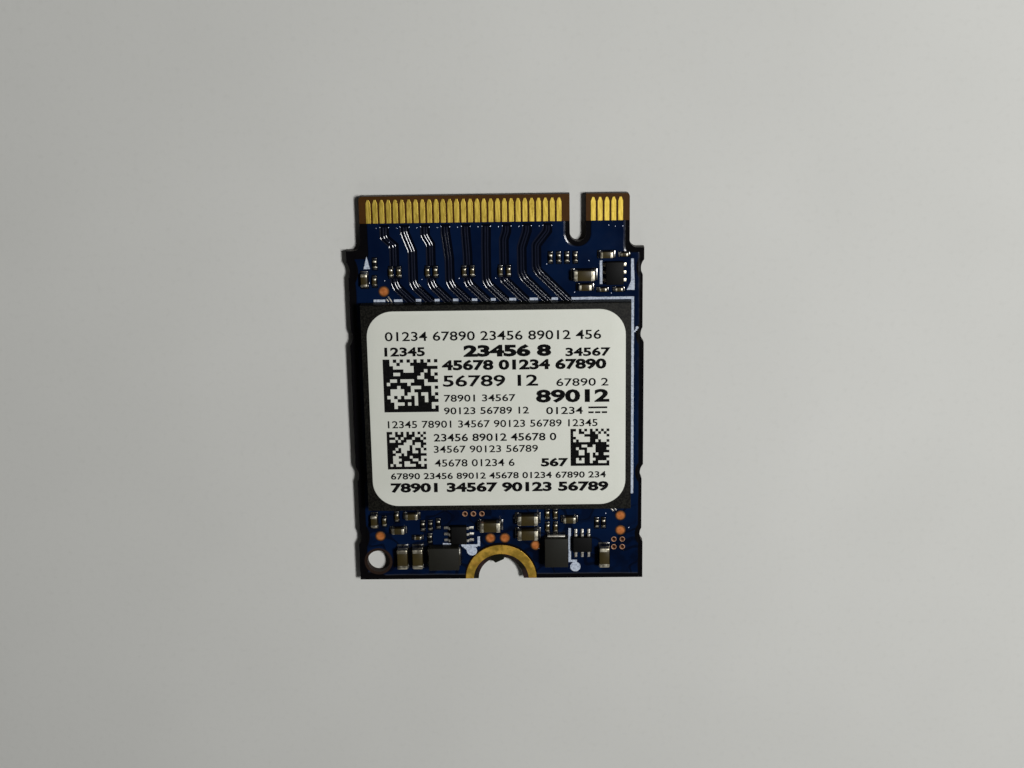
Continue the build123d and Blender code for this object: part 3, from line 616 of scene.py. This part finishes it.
SUBSTRATE = resin_finish("package_laminate", colour(24, 30, 20), colour(36, 42, 30), 0.5, 0.1, 0.006)
PAPER = paper_finish()
PRINT = ink_finish("label_print", colour(16, 15, 15), colour(5, 5, 6), 0.8)
WHITE_INK = ink_finish("card_ink", colour(150, 159, 174), colour(190, 199, 212), 0.5)
DESK = desk_finish()


# Frame nodes that keep their shape

paint_node("circuit_board", LAMINATE)
paint_node("solder_mask_top", MASK)
paint_node("solder_mask_bottom", MASK)
paint_node("package_substrate", SUBSTRATE)


# Flat metal: the frame's shape with its rim rounded

FLAT_SMOOTH = 20
# Node, piece, width of the round, finish and slot
FLAT_PIECES = (
    ("edge_contacts_top", "gold_fingers_top", 0.01, GOLD, "contact_gold"),
    ("edge_contacts_bottom", "gold_fingers_bottom", 0.01, GOLD, "contact_gold"),
    ("mount_ring_top", "seat_ring_top", 0.012, RING, "ring_gold"),
    ("mount_ring_bottom", "seat_ring_bottom", 0.012, RING, "ring_gold"),
    ("test_pads", "copper_test_points", 0.012, COPPER, "bare_copper"),
)


def rounded_node(node, name, width, finish, slot, segments=2, smooth_angle=40):
    """A frame node with its edges rounded."""
    rounded = soften(traced(node), width, segments, smooth_angle)
    finish_piece(rounded, name, finish, slot, node)


for piece in FLAT_PIECES:
    rounded_node(*piece, smooth_angle=FLAT_SMOOTH)


# Plated vias: a round rim about an open bore

VIA_SIDES = 24
VIA_RIM_R = 0.21
VIA_BORE_R = 0.15
VIA_ROUND = 0.02
VIA_SMOOTH = 50

barrel_low, barrel_high = [corner.z for corner in solids_of("via_barrels")[0]]
clear()
bpy.ops.mesh.primitive_cylinder_add(
    vertices=VIA_SIDES,
    radius=VIA_RIM_R,
    depth=barrel_high - barrel_low,
    location=(0, 0, (barrel_high + barrel_low) / 2),
)
barrel = bpy.context.object
settle(barrel)
pick_faces(barrel, lambda middle, normal: abs(normal.z) > FACING)
bpy.ops.mesh.inset(thickness=VIA_RIM_R - VIA_BORE_R)
bpy.ops.mesh.bridge_edge_loops()
done()
soften(barrel, VIA_ROUND, 3, VIA_SMOOTH)
via_spots = [(x, y, 0) for x, y in middles_of("via_barrels")]
finish_piece(joined(lay(barrel, via_spots, 0)), "plated_via_rims", VIA_PLATE, "via_plating", "via_barrels")


# Tracks: the mask lies over each as a low hump with rounded bends, in a channel that has no copper

TRACK_T = 0.02
TRACK_RIM = 0.007
TRACK_SLOPE = 0.034
TRACK_CROWN = 0.0115
TRACK_SMOOTH = 30
TRACKS_A_GROUP = 3
# The rounds of the short bends near the contacts and of the long sweeps nearer the package
JOG_REACH = 0.15
SWEEP_REACH = 0.44
SWEEP_TOP = 10.0
BEND_SEGMENTS = 6
# Radians between which two walls make a bend, and neither run on nor make an end
BEND_LEAST = 0.1
BEND_MOST = 1.4
# Where the groups of tracks part, across the card
GROUP_PARTS = (-8.2, -6.9, -5.5, -4.1, -2.8, -1.5, 0.0, 1.2, 2.4, 4.2)
# Left, right, low and high of the bends that lie further along their tracks, and how far
BEND_SLIDES = (
    (-8.6, -7.9, 12.0, 12.6, -0.35),
    (-5.6, -4.9, 12.0, 12.6, -0.25),
    (-3.8, -3.1, 11.7, 12.1, -1.7),
    (-2.4, -1.8, 11.7, 12.1, -1.4),
)
CHANNEL_REACH = 0.2
# Which track of each group has a film on both sides, and how flat it is, so that no two films share a face
CHANNELS = ((1, 0.15), (2, 0.195))

# Ends in plan of the short bare tracks that lead to the test points
STUBS = (
    ((-8.02, 7.53), (-7.76, 7.12)),
    ((-8.17, 7.37), (-8.0, 7.12)),
    ((8.39, -9.17), (8.76, -9.53)),
    ((8.7, -9.17), (8.97, -9.48)),
)
STUB_W = 0.1


def in_plan(place):
    """A place's X and Y, to a micron."""
    return round(place.x, 3), round(place.y, 3)


def bends_of(mesh):
    """Where in plan the walls of an outline turn by less than a right angle."""
    walls = {}
    for face in mesh.polygons:
        if abs(face.normal.z) < WALL:
            for corner in face.vertices:
                place = in_plan(mesh.vertices[corner].co)
                walls.setdefault(place, []).append(face.normal.copy())
    bends = set()
    for place, normals in walls.items():
        turn = max(normals[0].angle(normal) for normal in normals)
        if BEND_LEAST < turn < BEND_MOST:
            bends.add(place)
    return bends


def stub(start, end):
    """A short straight track between two places."""
    run = Vector(end) - Vector(start)
    track = block("stub", (0, -STUB_W / 2, 0), (run.length, STUB_W / 2, TRACK_T))
    track.rotation_euler = (0, 0, math.atan2(run.y, run.x))
    track.location = (*start, CARD_TOP)
    settle(track)
    return track


def routed():
    """The frame's tracks with some of their bends slid along them."""
    sheet = traced("signal_traces")
    mesh = sheet.data
    for left, right, low, high, slide in BEND_SLIDES:
        hold(sheet)
        mesh.edges.foreach_set("select", [False] * len(mesh.edges))
        mesh.polygons.foreach_set("select", [False] * len(mesh.polygons))
        chosen = [left < v.co.x < right and low < v.co.y < high for v in mesh.vertices]
        mesh.vertices.foreach_set("select", chosen)
        bpy.context.tool_settings.mesh_select_mode = (True, False, False)
        bpy.ops.object.mode_set(mode="EDIT")
        bpy.ops.transform.translate(value=(0, slide, 0))
        done()
    return sheet


def round_bends(sheet, reach, left, right, low, high):
    """Rounds the bends whose place is inside a box."""
    wanted = {(x, y) for x, y in bends_of(sheet.data) if left < x < right and low < y < high}
    pick_edges(sheet, lambda a, b: abs(a.z - b.z) > TRACK_T / 2 and in_plan(a) in wanted)
    bpy.ops.mesh.bevel(offset=reach, segments=BEND_SEGMENTS, affect="EDGES", clamp_overlap=True)
    done()


def crown(sheet):
    """Turns each flat raised track into a low hump."""
    pick_faces(sheet, lambda middle, normal: normal.z > FACING)
    bpy.ops.transform.translate(value=(0, 0, TRACK_RIM - TRACK_T))
    bpy.ops.mesh.inset(thickness=TRACK_SLOPE)
    bpy.ops.transform.translate(value=(0, 0, TRACK_CROWN))
    done()
    smooth(sheet, TRACK_SMOOTH)


def corners_of(mesh, place):
    """Corners in plan of the top face whose middle lies here."""
    for face in mesh.polygons:
        if face.normal.z > FACING and in_plan(face.center) == place:
            return {in_plan(mesh.vertices[i].co) for i in face.vertices}
    return set()


def channel(place_in_group, film):
    """A thin dark film on both sides of one track of each group."""
    sheet = routed()
    mesh = sheet.data
    rows = {}
    for face in mesh.polygons:
        if face.normal.z > FACING:
            from_top = sorted([mesh.vertices[i].co for i in face.vertices], key=lambda co: -co.y)
            start, other = from_top[:2]
            rows.setdefault(round(start.y, 2), []).append((start.x + other.x, in_plan(face.center)))
    kept = set()
    for row in rows.values():
        for _, place in sorted(row)[place_in_group::TRACKS_A_GROUP]:
            kept |= corners_of(mesh, place)
    pick_faces(sheet, lambda middle, normal: abs(normal.z) > FACING)
    bpy.ops.mesh.delete(type="ONLY_FACE")
    done()
    hold(sheet)
    mesh.vertices.foreach_set("select", [in_plan(v.co) not in kept for v in mesh.vertices])
    bpy.context.tool_settings.mesh_select_mode = (True, False, False)
    bpy.ops.object.mode_set(mode="EDIT")
    bpy.ops.mesh.delete(type="VERT")
    done()
    hold(sheet)
    reach = sheet.modifiers.new("reach", "SOLIDIFY")
    reach.thickness = CHANNEL_REACH
    reach.offset = 1
    reach.use_even_offset = True
    bpy.ops.object.modifier_apply(modifier=reach.name)
    pick_all(sheet)
    bpy.ops.mesh.normals_make_consistent(inside=False)
    bpy.ops.transform.resize(value=(1, 1, film), center_override=(0, 0, CARD_TOP))
    done()
    return sheet


tracks = routed()
round_bends(tracks, JOG_REACH, -SIDE, SIDE, SWEEP_TOP, HOST_END)
for group_left, group_right in zip(GROUP_PARTS, GROUP_PARTS[1:]):
    round_bends(tracks, SWEEP_REACH, group_left, group_right, 0.0, SWEEP_TOP)
crown(tracks)
stubs = joined([stub(*ends) for ends in STUBS])
crown(stubs)
channels = [channel(*choice) for choice in CHANNELS]
finish_piece(tracks, "covered_tracks", TRACK, "covered_track", "signal_traces")
finish_piece(stubs, "bare_track_ends", LEG, "tinned_cap")


# Card marking: ink with a slightly ragged edge

INK_T = 0.018
# Spacing of the cuts that let its edge wander, how much longer that is along the card, and cuts each way
INK_CUT = 0.17
INK_CUT_LONG = 1.35
INK_CUTS = 58
# How far its edge wanders, on the marks, on a bar, and on a dot as a share of its radius
MARKS_RAGGED = 0.016
BAR_RAGGED = 0.012
DOT_RAGGED = 0.07
MARKS_SEED = 3
BAR_SEED = 11
DOT_SIDES = 18
# Left, right, low and high of a bar of ink at the left dot
INK_BAR = (-2.98, -1.8, -12.37, -12.2)
# Middle and radius of the blots that ran together there, and of a fleck at the card's right side
BLOTS = (
    (-2.9, -12.27, 0.07),
    (-2.76, -12.36, 0.12),
    (-2.58, -12.45, 0.17),
    (-2.42, -12.38, 0.17),
    (10.5, 4.93, 0.11),
    (10.42, 4.78, 0.09),
    (10.32, 4.65, 0.07),
)


def raise_ink(sheet, ragged, seed):
    """Roughens a flat sheet of ink in its plane and gives it its thickness."""
    pick_all(sheet)
    bpy.ops.transform.vertex_random(offset=ragged, seed=seed)
    bpy.ops.transform.resize(value=(1, 1, 0), constraint_axis=(False, False, True))
    bpy.ops.mesh.extrude_region_move(TRANSFORM_OT_translate={"value": (0, 0, INK_T)})
    bpy.ops.mesh.select_all(action="SELECT")
    bpy.ops.mesh.normals_make_consistent(inside=False)
    done()
    return sheet


def ink_dot(x, y, radius, seed):
    """A round blot of ink."""
    clear()
    bpy.ops.mesh.primitive_circle_add(
        vertices=DOT_SIDES,
        radius=radius,
        fill_type="NGON",
        location=(x, y, CARD_TOP),
    )
    dot = bpy.context.object
    settle(dot)
    return raise_ink(dot, radius * DOT_RAGGED, seed)


def ink_bar(left, right, low, high, seed):
    """A short thick bar of ink."""
    clear()
    bpy.ops.mesh.primitive_grid_add(
        x_subdivisions=8,
        y_subdivisions=2,
        size=1,
        location=((left + right) / 2, (low + high) / 2, CARD_TOP),
    )
    bar = bpy.context.object
    bar.scale = (right - left, high - low, 1)
    settle(bar)
    return raise_ink(bar, BAR_RAGGED, seed)


marking = traced("silkscreen_marks")
pick_faces(marking, lambda middle, normal: normal.z > -FACING)
bpy.ops.mesh.delete(type="FACE")
bpy.ops.mesh.select_all(action="SELECT")
bpy.ops.mesh.flip_normals()
for step in range(-INK_CUTS, INK_CUTS + 1):
    bpy.ops.mesh.select_all(action="SELECT")
    bpy.ops.mesh.bisect(plane_co=(step * INK_CUT, 0, 0), plane_no=(1, 0, 0))
    bpy.ops.mesh.select_all(action="SELECT")
    bpy.ops.mesh.bisect(plane_co=(0, step * INK_CUT * INK_CUT_LONG, 0), plane_no=(0, 1, 0))
done()
ink = [raise_ink(marking, MARKS_RAGGED, MARKS_SEED)]
for number, (x, y, radius) in enumerate(BLOTS):
    ink.append(ink_dot(x, y, radius, number))
ink.append(ink_bar(*INK_BAR, BAR_SEED))
finish_piece(joined(ink), "card_marking", WHITE_INK, "white_ink", "silkscreen_marks")


# Package, label, coils and chips: the frame's shape with its edges rounded

# Node, piece, width of the round, finish and slot, and where not 2 and 40 its segments and smooth angle
ROUNDED_PIECES = (
    ("package_mould", "storage_package", 0.03, RESIN, "package_resin"),
    ("storage_label", "storage_label_stock", 0.02, PAPER, "label_paper"),
    ("inductor_terminals", "inductor_plates", 0.02, PLATE, "tinned_cap"),
    ("inductor_bodies", "inductor_blocks", 0.05, CORE, "pressed_core", 3),
    ("load_switch_body", "load_switch_case", 0.035, CHIP, "chip_resin"),
    ("load_switch_pads", "load_switch_lands", 0.012, TIN, "tinned_cap"),
    ("core_regulator_body", "core_regulator_case", 0.02, CHIP, "chip_resin"),
    ("input_regulator_body", "input_regulator_case", 0.02, CHIP, "chip_resin"),
    ("core_regulator_leads", "core_regulator_legs", 0.02, LEG, "tinned_cap", 3, 70),
    ("input_regulator_leads", "input_regulator_legs", 0.02, LEG, "tinned_cap", 3, 70),
)
for piece in ROUNDED_PIECES:
    rounded_node(*piece)


# Two-ended parts: a ceramic block between plated ends on solder fillets

# Name, length, width, height, plated length at each end, and slot of each family
FAMILIES = (
    ("coupling_capacitor", 0.6, 0.3, 0.3, 0.15, "capacitor_ceramic"),
    ("small_capacitor", 0.6, 0.3, 0.3, 0.15, "capacitor_ceramic"),
    ("resistor", 0.6, 0.3, 0.23, 0.15, "resistor_glaze"),
    ("decoupling_capacitor", 1.0, 0.5, 0.5, 0.22, "capacitor_ceramic"),
    ("bulk_capacitor", 1.6, 0.8, 0.8, 0.3, "capacitor_ceramic"),
)
# The ceramic lies this far inside its plated ends, and its edges are rounded by this share of its width
CAP_FILM = 0.02
CORE_ROUND = 0.05
# A plated end: its round, and how far its inner side is dished within a thin rim
CAP_ROUND = 0.09
CAP_RIM = 0.018
CAP_DISH = 0.03
CAP_SMOOTH = 60
# Solder: how far it reaches, and how far up a low part or a tall one, as a share of its height
SOLDER_FOOT = 0.12
RISE_LOW = 0.55
RISE_TALL = 0.4
TALL = 0.5
# Width, rise and distance between the ends of the coils' solder
COIL_SOLDER = (1.35, 0.3, 2.5)
# A wedge is shaped as a block of 1 by 1 by 1, then sized
WEDGE_EDGE = 0.9
WEDGE_HOLLOW = 0.94
WEDGE_PROFILE = 0.2
WEDGE_CHEEK = 0.02
WEDGE_WIDER = 1.04
WEDGE_LAP = 0.01
WEDGE_SMOOTH = 50
# A soldered pad: how far it shows, more at a longer part, how far it lies under, and its half width
LAND_SHOWS = 0.08
LAND_SHARE = 0.07
LAND_UNDER = 0.1
LAND_HALF = 0.54
LAND_T = 0.03
LAND_ROUND = 0.015
LAND_SMOOTH = 60
# The opening in the copper about a part, beyond its ends and its sides, also dark as painted shadow of the
# part
SHADOW_OPENING_END = 0.2
SHADOW_OPENING_SIDE = 0.07
SHADOW_OPENING_T = 0.0045
# Middle and radius of drops of solder left on the card, and how far the middle stands over it, in radii
DROPS = ((-3.24, -12.55, 0.17), (5.05, -11.62, 0.12), (-9.0, 8.57, 0.08))
DROP_LIFT = 0.5


def end_cap(length, width, height, band):
    """A plated end, well rounded on its outside and thin at its rim."""
    rim = length / 2 - band
    cap = block("end_cap", (rim, -width / 2, 0), (length / 2, width / 2, height))
    pick_edges(cap, lambda a, b: max(a.x, b.x) > rim + band / 2)
    bpy.ops.mesh.bevel(offset=CAP_ROUND, segments=4, affect="EDGES", clamp_overlap=True)
    done()
    pick_faces(cap, lambda middle, normal: normal.x < -FACING)
    bpy.ops.mesh.inset(thickness=CAP_RIM)
    bpy.ops.transform.translate(value=(CAP_DISH, 0, 0))
    done()
    smooth(cap, CAP_SMOOTH)
    return cap


def fillet(foot, width, rise, length):
    """Solder drawn up against an end in a hollow curve."""
    wedge = block("fillet", (0, -0.5, 0), (1, 0.5, 1))
    pick_edges(wedge, lambda a, b: min(a.x, b.x, a.z, b.z) > WEDGE_EDGE)
    bpy.ops.mesh.bevel(offset=WEDGE_HOLLOW, segments=6, profile=WEDGE_PROFILE, affect="EDGES")
    done()
    pick_faces(wedge, lambda middle, normal: abs(normal.y) > FACING)
    bpy.ops.mesh.inset(thickness=WEDGE_CHEEK)
    done()
    wedge.scale = (foot, width * WEDGE_WIDER, rise)
    wedge.location = (length / 2 - WEDGE_LAP, 0, 0)
    settle(wedge)
    smooth(wedge, WEDGE_SMOOTH)
    return wedge


def land(length, width):
    """The soldered pad that an end stands on."""
    inner = length / 2 - LAND_UNDER
    outer = length / 2 + (LAND_SHOWS + LAND_SHARE * length)
    pad = block("land", (inner, -width * LAND_HALF, 0), (outer, width * LAND_HALF, LAND_T))
    return soften(pad, LAND_ROUND, smooth_angle=LAND_SMOOTH)


def both_ends(spots):
    """Each spot and the same spot turned half round."""
    return spots + [(x, y, turn + 180) for x, y, turn in spots]


def solder_drop(x, y, radius):
    """A drop of solder, its lower part sunk in the card."""
    clear()
    bpy.ops.mesh.primitive_uv_sphere_add(
        segments=14,
        ring_count=9,
        radius=radius,
        location=(x, y, CARD_TOP + radius * DROP_LIFT),
    )
    drop = bpy.context.object
    settle(drop)
    hold(drop)
    bpy.ops.object.shade_smooth()
    return drop


fillets = []
lands = []
openings_and_shadow = []
for family, length, width, height, band, slot in FAMILIES:
    spots = spots_of(family + "_bodies")
    core = block(
        family,
        (-length / 2 + CAP_FILM * 2, -width / 2 + CAP_FILM, CAP_FILM),
        (length / 2 - CAP_FILM * 2, width / 2 - CAP_FILM, height - CAP_FILM),
    )
    soften(core, width * CORE_ROUND)
    body_finish = GLAZE if family == "resistor" else CERAMIC
    finish_piece(joined(lay(core, spots)), family + "_blocks", body_finish, slot, family + "_bodies")
    caps = joined(lay(end_cap(length, width, height, band), both_ends(spots)))
    finish_piece(caps, family + "_ends", TIN, "tinned_cap", family + "_caps")
    rise = height * (RISE_LOW if height < TALL else RISE_TALL)
    fillets += lay(fillet(SOLDER_FOOT, width, rise, length), both_ends(spots))
    lands += lay(land(length, width), both_ends(spots))
    # A dark sheet about each part: bare laminate where the copper is opened, and painted shadow of the
    # part
    reach_x = length / 2 + SHADOW_OPENING_END
    reach_y = width / 2 + SHADOW_OPENING_SIDE
    openings_and_shadow += lay(block("opening_and_shadow", (-reach_x, -reach_y, 0), (reach_x, reach_y, SHADOW_OPENING_T)), spots)
finish_piece(joined(channels + openings_and_shadow), "copper_free_gaps_and_shadow", GAP_AND_SHADOW, "covered_track")
fillets += lay(fillet(SOLDER_FOOT, *COIL_SOLDER), both_ends(spots_of("inductor_bodies")))
fillets += [solder_drop(*drop) for drop in DROPS]
finish_piece(joined(fillets), "solder_fillets", SOLDER, "solder", "solder_joints")
finish_piece(joined(lands), "solder_lands", SOLDER, "solder")


# Covered vias: a small domed plug in each

PLUG_R = 0.055
PLUG_FLAT = 0.5
PLUGS = (
    (-2.70, 8.84), (0.0, 8.83), (6.91, 10.06), (3.79, 9.82), (5.85, 7.68), (8.55, 7.59),
    (-9.37, 8.56), (-8.23, 8.72), (-7.80, 11.60), (-5.45, 8.80), (8.38, 12.67), (8.85, 12.58),
    (9.4, 12.58), (8.15, -9.72), (9.92, -10.9), (1.05, -10.0), (3.0, -12.55), (-3.3, -9.2), (2.85, -11.0),
)
# Three more stand at the top of each group of tracks, this far from its middle and from this line
FINGER_PLUG_Y = 12.72
FINGER_GROUPS = (-8.1, -6.6, -5.1, -3.6, -2.1, -0.6, 0.9, 2.4, 3.9)
FINGER_PLUGS = ((-0.62, -0.06), (-0.34, 0.0), (0.3, -0.02))

plug_spots = [(x, y, 0) for x, y in PLUGS]
for group in FINGER_GROUPS:
    plug_spots += [(group + across, FINGER_PLUG_Y + along, 0) for across, along in FINGER_PLUGS]
clear()
bpy.ops.mesh.primitive_uv_sphere_add(segments=8, ring_count=6, radius=PLUG_R, location=(0, 0, 0))
plug = bpy.context.object
plug.scale = (1, 1, PLUG_FLAT)
settle(plug)
hold(plug)
bpy.ops.object.shade_smooth()
finish_piece(joined(lay(plug, plug_spots)), "covered_via_plugs", PLUG, "via_plating")


# Solder balls, pressed flat between the package and the card

BALL_R = 0.2
BALL_H = 0.22
BALL_SMOOTH = 50

clear()
bpy.ops.mesh.primitive_uv_sphere_add(segments=10, ring_count=7, radius=BALL_R, location=(0, 0, BALL_H / 2))
ball = bpy.context.object
settle(ball)
pick_all(ball)
bpy.ops.mesh.bisect(plane_co=(0, 0, 0), plane_no=(0, 0, -1), clear_outer=True, use_fill=True)
bpy.ops.mesh.select_all(action="SELECT")
bpy.ops.mesh.bisect(plane_co=(0, 0, BALL_H), plane_no=(0, 0, 1), clear_outer=True, use_fill=True)
done()
smooth(ball, BALL_SMOOTH)
ball_spots = [(x, y, 0) for x, y in middles_of("package_solder_balls")]
finish_piece(joined(lay(ball, ball_spots)), "package_ball_rows", SOLDER, "solder", "package_solder_balls")


# Generic marks printed on the label: rows of counting digits, and squares of plain cells

PRINT_T = 0.006
# Digits in a row as long as it is high, and how many stand between two spaces
DIGITS_A_HEIGHT = 1.25
DIGIT_RUN = 5
# Steps in each curve of a digit
DIGIT_STEPS = 3
# Share of the cells inside a square that are inked, and the seed that chooses them
CELL_SHARE = 0.55
CELL_SEED = 7
# Left, right, low and high of the direct current sign's bar and of its first dash, and the dashes' pitch
SIGN_BAR = (6.80, 8.22, -0.90, -0.76)
SIGN_DASH = (6.80, 7.20, -1.28, -1.14)
SIGN_PITCH = 0.5
random.seed(CELL_SEED)


def number_row(left, right, low, high, bold, stretch, first):
    """A row of plain counting digits that fills a box."""
    clear()
    bpy.ops.object.text_add()
    row = bpy.context.object
    count = int((right - left) / (high - low) * DIGITS_A_HEIGHT / stretch)
    digits = ""
    for place in range(count):
        space = place % (DIGIT_RUN + 1) == DIGIT_RUN
        digits += " " if space else str((first + place) % 10)
    row.data.body = digits
    row.data.resolution_u = DIGIT_STEPS
    row.data.offset = bold
    bpy.ops.object.convert(target="MESH")
    corners = [Vector(corner) for corner in row.bound_box]
    least = Vector([min(c[i] for c in corners) for i in range(3)])
    most = Vector([max(c[i] for c in corners) for i in range(3)])
    wide = (right - left) / (most.x - least.x)
    tall = (high - low) / (most.y - least.y)
    row.scale = (wide, tall, 1)
    row.location = (left - least.x * wide, low - least.y * tall, LABEL_TOP + PRINT_T)
    settle(row)
    return row


# Left, right, low and high of each row, how bold it is, how wide its digits are, and its first digit
PRINT_ROWS = (
    (-8.24, 7.77, 4.42, 5.14, 0.012, 1.0, 0),
    (-8.31, -5.30, 3.26, 3.96, 0.035, 1.0, 1),
    (-2.44, 4.07, 3.16, 4.10, 0.055, 1.15, 2),
    (5.12, 8.45, 3.12, 3.80, 0.035, 1.05, 3),
    (-4.07, 8.15, 2.13, 2.96, 0.045, 1.05, 4),
    (-4.03, 3.07, 0.88, 1.78, 0.02, 1.1, 5),
    (4.42, 8.30, 0.84, 1.45, 0.01, 1.0, 6),
    (-3.98, 1.37, -0.28, 0.28, 0.015, 1.0, 7),
    (2.89, 8.37, -0.44, 0.60, 0.04, 1.1, 8),
    (-4.01, 2.35, -1.26, -0.70, 0.015, 1.0, 9),
    (3.64, 6.39, -1.33, -0.76, 0.015, 1.0, 0),
    (-8.26, 7.49, -2.30, -1.72, 0.012, 0.95, 1),
    (-4.84, 4.39, -3.38, -2.76, 0.018, 0.95, 2),
    (-4.86, 3.00, -4.27, -3.70, 0.012, 0.95, 3),
    (-4.82, 1.22, -5.37, -4.78, 0.012, 0.95, 4),
    (3.21, 5.27, -5.45, -4.75, 0.045, 1.0, 5),
    (-8.18, 8.11, -6.36, -5.84, 0.02, 1.0, 6),
    (-8.22, 8.30, -7.42, -6.62, 0.045, 1.05, 7),
)
# Left, low, side and cells of each square
PRINT_SQUARES = ((-8.47, -1.04, 4.08, 16), (-8.38, -5.54, 2.97, 14), (5.45, -5.41, 2.92, 14))


def stroke(x0, x1, y0, y1):
    """One flat printed bar."""
    clear()
    place = ((x0 + x1) / 2, (y0 + y1) / 2, LABEL_TOP + PRINT_T)
    bpy.ops.mesh.primitive_plane_add(size=1, location=place)
    bar = bpy.context.object
    bar.scale = (x1 - x0, y1 - y0, 1)
    settle(bar)
    return bar


def cell_inked(column, row, cells):
    """Two full sides, two dotted sides and a random inside."""
    if column == 0 or row == 0:
        return True
    if column == cells - 1 or row == cells - 1:
        return (column + row) % 2 == 0
    return random.random() < CELL_SHARE


printed = [number_row(*row) for row in PRINT_ROWS]
for left, low, side, cells in PRINT_SQUARES:
    cell = side / cells
    for row in range(cells):
        start = None
        for column in range(cells + 1):
            inked = column < cells and cell_inked(column, row, cells)
            if inked and start is None:
                start = column
            if not inked and start is not None:
                y = low + row * cell
                printed.append(stroke(left + start * cell, left + column * cell, y, y + cell))
                start = None
printed.append(stroke(*SIGN_BAR))
for dash in range(3):
    left, right, low, high = SIGN_DASH
    shift = dash * SIGN_PITCH
    printed.append(stroke(left + shift, right + shift, low, high))
finish_piece(joined(printed), "label_marks", PRINT, "label_paper")


# Floor, light and camera, in metres

DESK_SIDE = 1.2
DESK_Z = -0.00002
ROOM_LIGHT = 0.014
# Name, place, width, height and power of each softbox
SOFTBOXES = (
    ("window_right", (0.103, 0.0245, 0.195), 0.058, 0.032, 0.41),
    ("room_front", (0.1, -0.7, 0.35), 0.5, 0.5, 0.45),
)
SENSOR_WIDTH = 36
FOCAL_LENGTH = 53.93

clear()
bpy.ops.mesh.primitive_plane_add(size=DESK_SIDE, location=(0, 0, DESK_Z))
desk = bpy.context.object
name_piece(desk, "desk")
desk.data.materials.append(DESK)

world = bpy.data.worlds.new("soft_room")
bpy.context.scene.world = world
world.use_nodes = True
world.node_tree.nodes["Background"].inputs["Color"].default_value = (1, 1, 1, 1)
world.node_tree.nodes["Background"].inputs["Strength"].default_value = ROOM_LIGHT


def soft_light(name, place, width, height, power):
    """A softbox that faces the card."""
    clear()
    bpy.ops.object.light_add(type="AREA", location=place)
    lamp = bpy.context.object
    lamp.name = name
    lamp.data.shape = "RECTANGLE"
    lamp.data.size = width
    lamp.data.size_y = height
    lamp.data.energy = power
    lamp.rotation_euler = (-Vector(place)).to_track_quat("-Z", "Y").to_euler()


for softbox in SOFTBOXES:
    soft_light(*softbox)

bpy.context.scene.view_settings.view_transform = "Standard"

camera_data = bpy.data.cameras.new("camera")
camera = bpy.data.objects.new("camera", camera_data)
bpy.context.collection.objects.link(camera)
camera_data.sensor_width = SENSOR_WIDTH
camera_data.lens = FOCAL_LENGTH
camera_data.clip_start = 0.001
camera.matrix_world = Matrix(
    (
        (0.99975349, 0.01167578, 0.01888498, 3.28 * MM),
        (-0.01617315, 0.96570503, 0.25913747, 30.67 * MM),
        (-0.01521169, -0.25937902, 0.9656558, 112.52 * MM),
        (0, 0, 0, 1),
    )
)
bpy.context.scene.camera = camera

clear()
